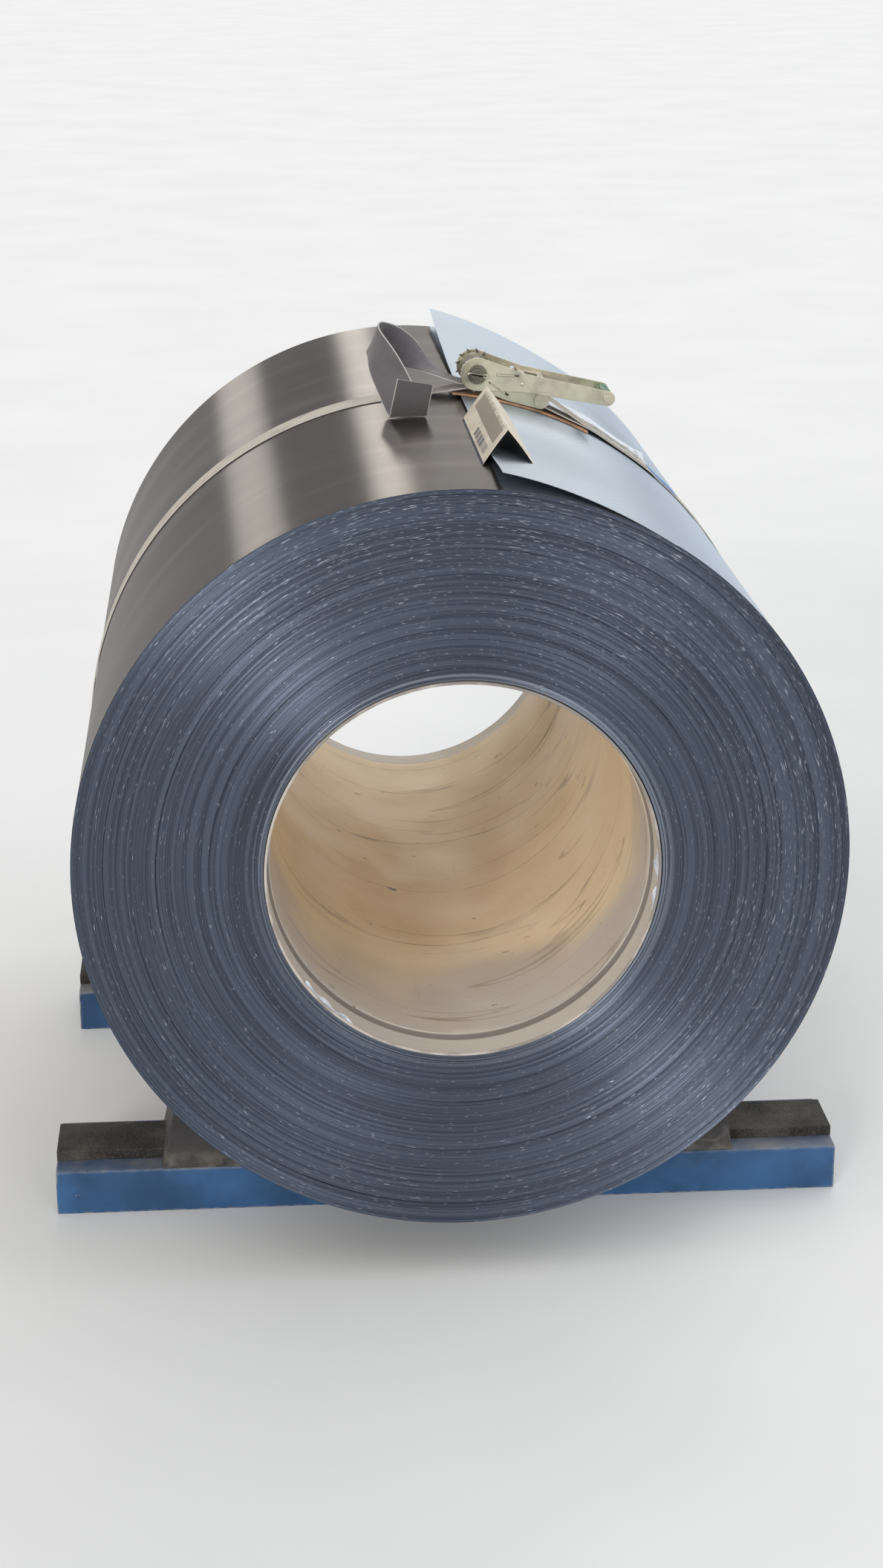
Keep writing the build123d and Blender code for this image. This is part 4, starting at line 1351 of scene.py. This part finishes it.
class MakeLabel(bpy.types.Operator):
    """The label sheet in its clear sleeve, under the strap"""
    bl_idname = "coil.label"
    bl_label = "Label"

    def execute(self, context):
        places = np.linspace(LABEL_START, LABEL_END, 90)
        near = np.full(len(places), LABEL_NEAR)
        far = np.full(len(places), LABEL_FAR)

        def base(place, across):
            """Flat under the strap; past it, ripples that only rise, and a curl at the free corner."""
            free = np.clip((across - 0.25) / 0.75, 0, 1)
            ripple = 1.2 * MM * np.sin(place * 60 + across * 5) * free
            curl = 5 * MM * free ** 2 * np.clip((place - 0.3) / 0.054, 0, 1) ** 2
            return label_base(place) + np.maximum(ripple, 0) + curl

        piece = polar_band("label_sleeve", places, near, far, base, LABEL_THICKNESS, sharp=50)
        dress(piece, "coil_on_rack", "label_paper", "label_paper")
        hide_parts("label_sheet")
        return {"FINISHED"}


class MakeTag(bpy.types.Operator):
    """The folded tag, which stands like a tent over the strip's edge"""
    bl_idname = "coil.tag"
    bl_label = "Tag"

    def execute(self, context):
        low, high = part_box("folded_tag")
        middle = (low.x + high.x) / 2
        left, right = np.array([[low.x, self.foot(low.x)], [high.x, self.foot(high.x)]])
        top = np.array([middle, high.z])
        share = np.linspace(0, 1, 14)[:, None]
        line = np.concatenate([left + (top - left) * share, top + (right - top) * share[1:]])
        bulge = np.sin(math.pi * np.r_[share, share[1:]])[:, 0]
        rows = np.linspace(high.y, low.y, 40)
        points = np.zeros((len(rows), len(line), 3))
        points[..., 0] = line[:, 0] + np.sign(line[:, 0] - middle) * bulge * 0.8 * MM
        points[..., 1] = rows[:, None]
        points[..., 2] = line[:, 1] + 0.6 * MM * np.sin(rows[:, None] * 24) * bulge
        uv = np.stack(np.broadcast_arrays(rows[:, None] - low.y, path_lengths(line)), -1)
        piece = surface("tag_board", points, uv=uv, sharp=60)
        give_wall(piece, "board", TAG_BOARD, offset=-1, material_offset=1, material_offset_rim=0)
        dress(piece, "coil_on_rack", "tag_card", "tag_card", "tag_inside_shade")
        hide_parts("folded_tag")
        return {"FINISHED"}

    @staticmethod
    def foot(x):
        """How high the tag's foot stands at that side: the lowest CAD point of the tag there."""
        mesh = frame["nodes"]["folded_tag"].data
        corners = np.zeros(len(mesh.vertices) * 3, np.float32)
        mesh.vertices.foreach_get("co", corners)
        corners = corners.reshape(-1, 3)
        return float(corners[np.abs(corners[:, 0] - x) < 2 * MM, 2].min())


class MakeRack(bpy.types.Operator):
    """Beams, slabs and chocks"""
    bl_idname = "coil.rack"
    bl_label = "Rack"

    def execute(self, context):
        for place in ("near", "far"):
            finish_node("beam_" + place, "beam_paint", 1.5 * MM)
            finish_node("slab_" + place, "slab_rubber", 0.8 * MM)
            for side in ("left", "right"):
                finish_node(f"chock_{place}_{side}", "chock_plastic", 2 * MM)
        return {"FINISHED"}


class MakeStage(bpy.types.Operator):
    """Floor, soft lamps, room light and the camera at the viewing angle of the photograph"""
    bl_idname = "coil.stage"
    bl_label = "Stage"

    def execute(self, context):
        scene = context.scene
        looks = scene.stage_looks
        scene.view_settings.view_transform = "Standard"
        self.floor(looks)
        self.room(scene, looks)
        for name, way, strength, spread, color in LAMPS:
            turn = Vector(way).to_track_quat("Z", "Y")
            lamp = self.aim(scene, name, bpy.data.lights.new(name, "SUN"), turn)
            lamp.data.energy = strength * looks.lamp_strength
            lamp.data.angle = math.radians(spread)
            lamp.data.color = color
        place = Vector(CAMERA_PLACE)
        middle = (cad_low + cad_high) / 2 + Vector(CAMERA_AIM)
        way = (middle - place).to_track_quat("-Z", "Y")
        camera = self.aim(scene, "camera", bpy.data.cameras.new("camera"), way)
        camera.location = place
        camera.data.sensor_fit = "VERTICAL"
        camera.data.sensor_height = camera.data.sensor_width = 36
        camera.data.lens = looks.lens
        scene.camera = camera
        return {"FINISHED"}

    @staticmethod
    def aim(scene, name, data, way):
        made = bpy.data.objects.new(name, data)
        scene.collection.objects.link(made)
        made.rotation_euler = way.to_euler()
        return made

    @staticmethod
    def floor(looks):
        """A wide disc: rows are rings that grow outward from one point in the middle."""
        angles = np.linspace(0, TURN, 64, endpoint=False)
        radii = np.array([0, 1.5, 4, 12, 40, 300])[:, None]
        points = np.stack(np.broadcast_arrays(radii * np.cos(angles), radii * np.sin(angles), 0.0), -1)
        floor = surface("floor", points, close_columns=True)
        work = bmesh.new()
        work.from_mesh(floor.data)
        bmesh.ops.remove_doubles(work, verts=work.verts, dist=0.1 * MM)
        work.to_mesh(floor.data)
        work.free()
        m = Finish("floor", looks.floor_color)
        m.mottle(m.spots(1.5), 0.3, 0.7, 0.98, 1.02)
        m.connect(m.tree.nodes["Principled BSDF"], {"Base Color": m.tone, "Roughness": 0.8})
        floor.data.materials.append(m.made)

    @staticmethod
    def room(scene, looks):
        """The room is pale at the horizon, darker above it, pale again overhead and on the right. The
        camera itself sees a plain backdrop of the lit floor's tone."""
        scene.world = bpy.data.worlds.new("room")
        scene.world.use_nodes = True
        n = Nodes(scene.world.node_tree)
        x, _, z = n.split(n.add("ShaderNodeTexCoord", output="Generated"))
        tone = n.mix(n.ramp(z, 0.02, 0.18), looks.room_color, looks.shade_color)
        tone = n.mix(n.ramp(z, 0.6, 0.95), tone, looks.room_color)
        tone = n.mix(n.ramp(x, 0.25, 0.8), tone, looks.side_color)
        tone = n.mix(n.add("ShaderNodeLightPath", output="Is Camera Ray"), tone, looks.backdrop_color)
        n.connect(n.tree.nodes["Background"], {"Color": tone, "Strength": looks.world_strength})


OPERATORS = (MakeCoil, MakeFreeEnd, MakeCore, MakeStrap, MakeTail, MakeBuckle, MakePad, MakeLabel, MakeTag,
             MakeRack, MakeStage)


class CoilPanel(bpy.types.Panel):
    """Sizes, colours and pieces of the coil"""
    bl_idname = "VIEW3D_PT_steel_coil"
    bl_label = "Steel coil"
    bl_space_type = "VIEW_3D"
    bl_region_type = "UI"
    bl_category = "Steel coil"

    def draw(self, context):
        for looks in (context.scene.coil_looks, context.scene.stage_looks):
            box = self.layout.box()
            for name in looks.__annotations__:
                box.prop(looks, name)
        for operator in OPERATORS:
            self.layout.operator(operator.bl_idname)


CLASSES = (CoilLooks, StageLooks, *OPERATORS, CoilPanel)


def register():
    for made in CLASSES:
        bpy.utils.register_class(made)
    bpy.types.Scene.coil_looks = PointerProperty(type=CoilLooks)
    bpy.types.Scene.stage_looks = PointerProperty(type=StageLooks)


def unregister():
    del bpy.types.Scene.stage_looks
    del bpy.types.Scene.coil_looks
    for made in reversed(CLASSES):
        bpy.utils.unregister_class(made)


def main():
    register()
    for operator in OPERATORS:
        group, name = operator.bl_idname.split(".")
        getattr(getattr(bpy.ops, group), name)()


if __name__ == "__main__":
    main()
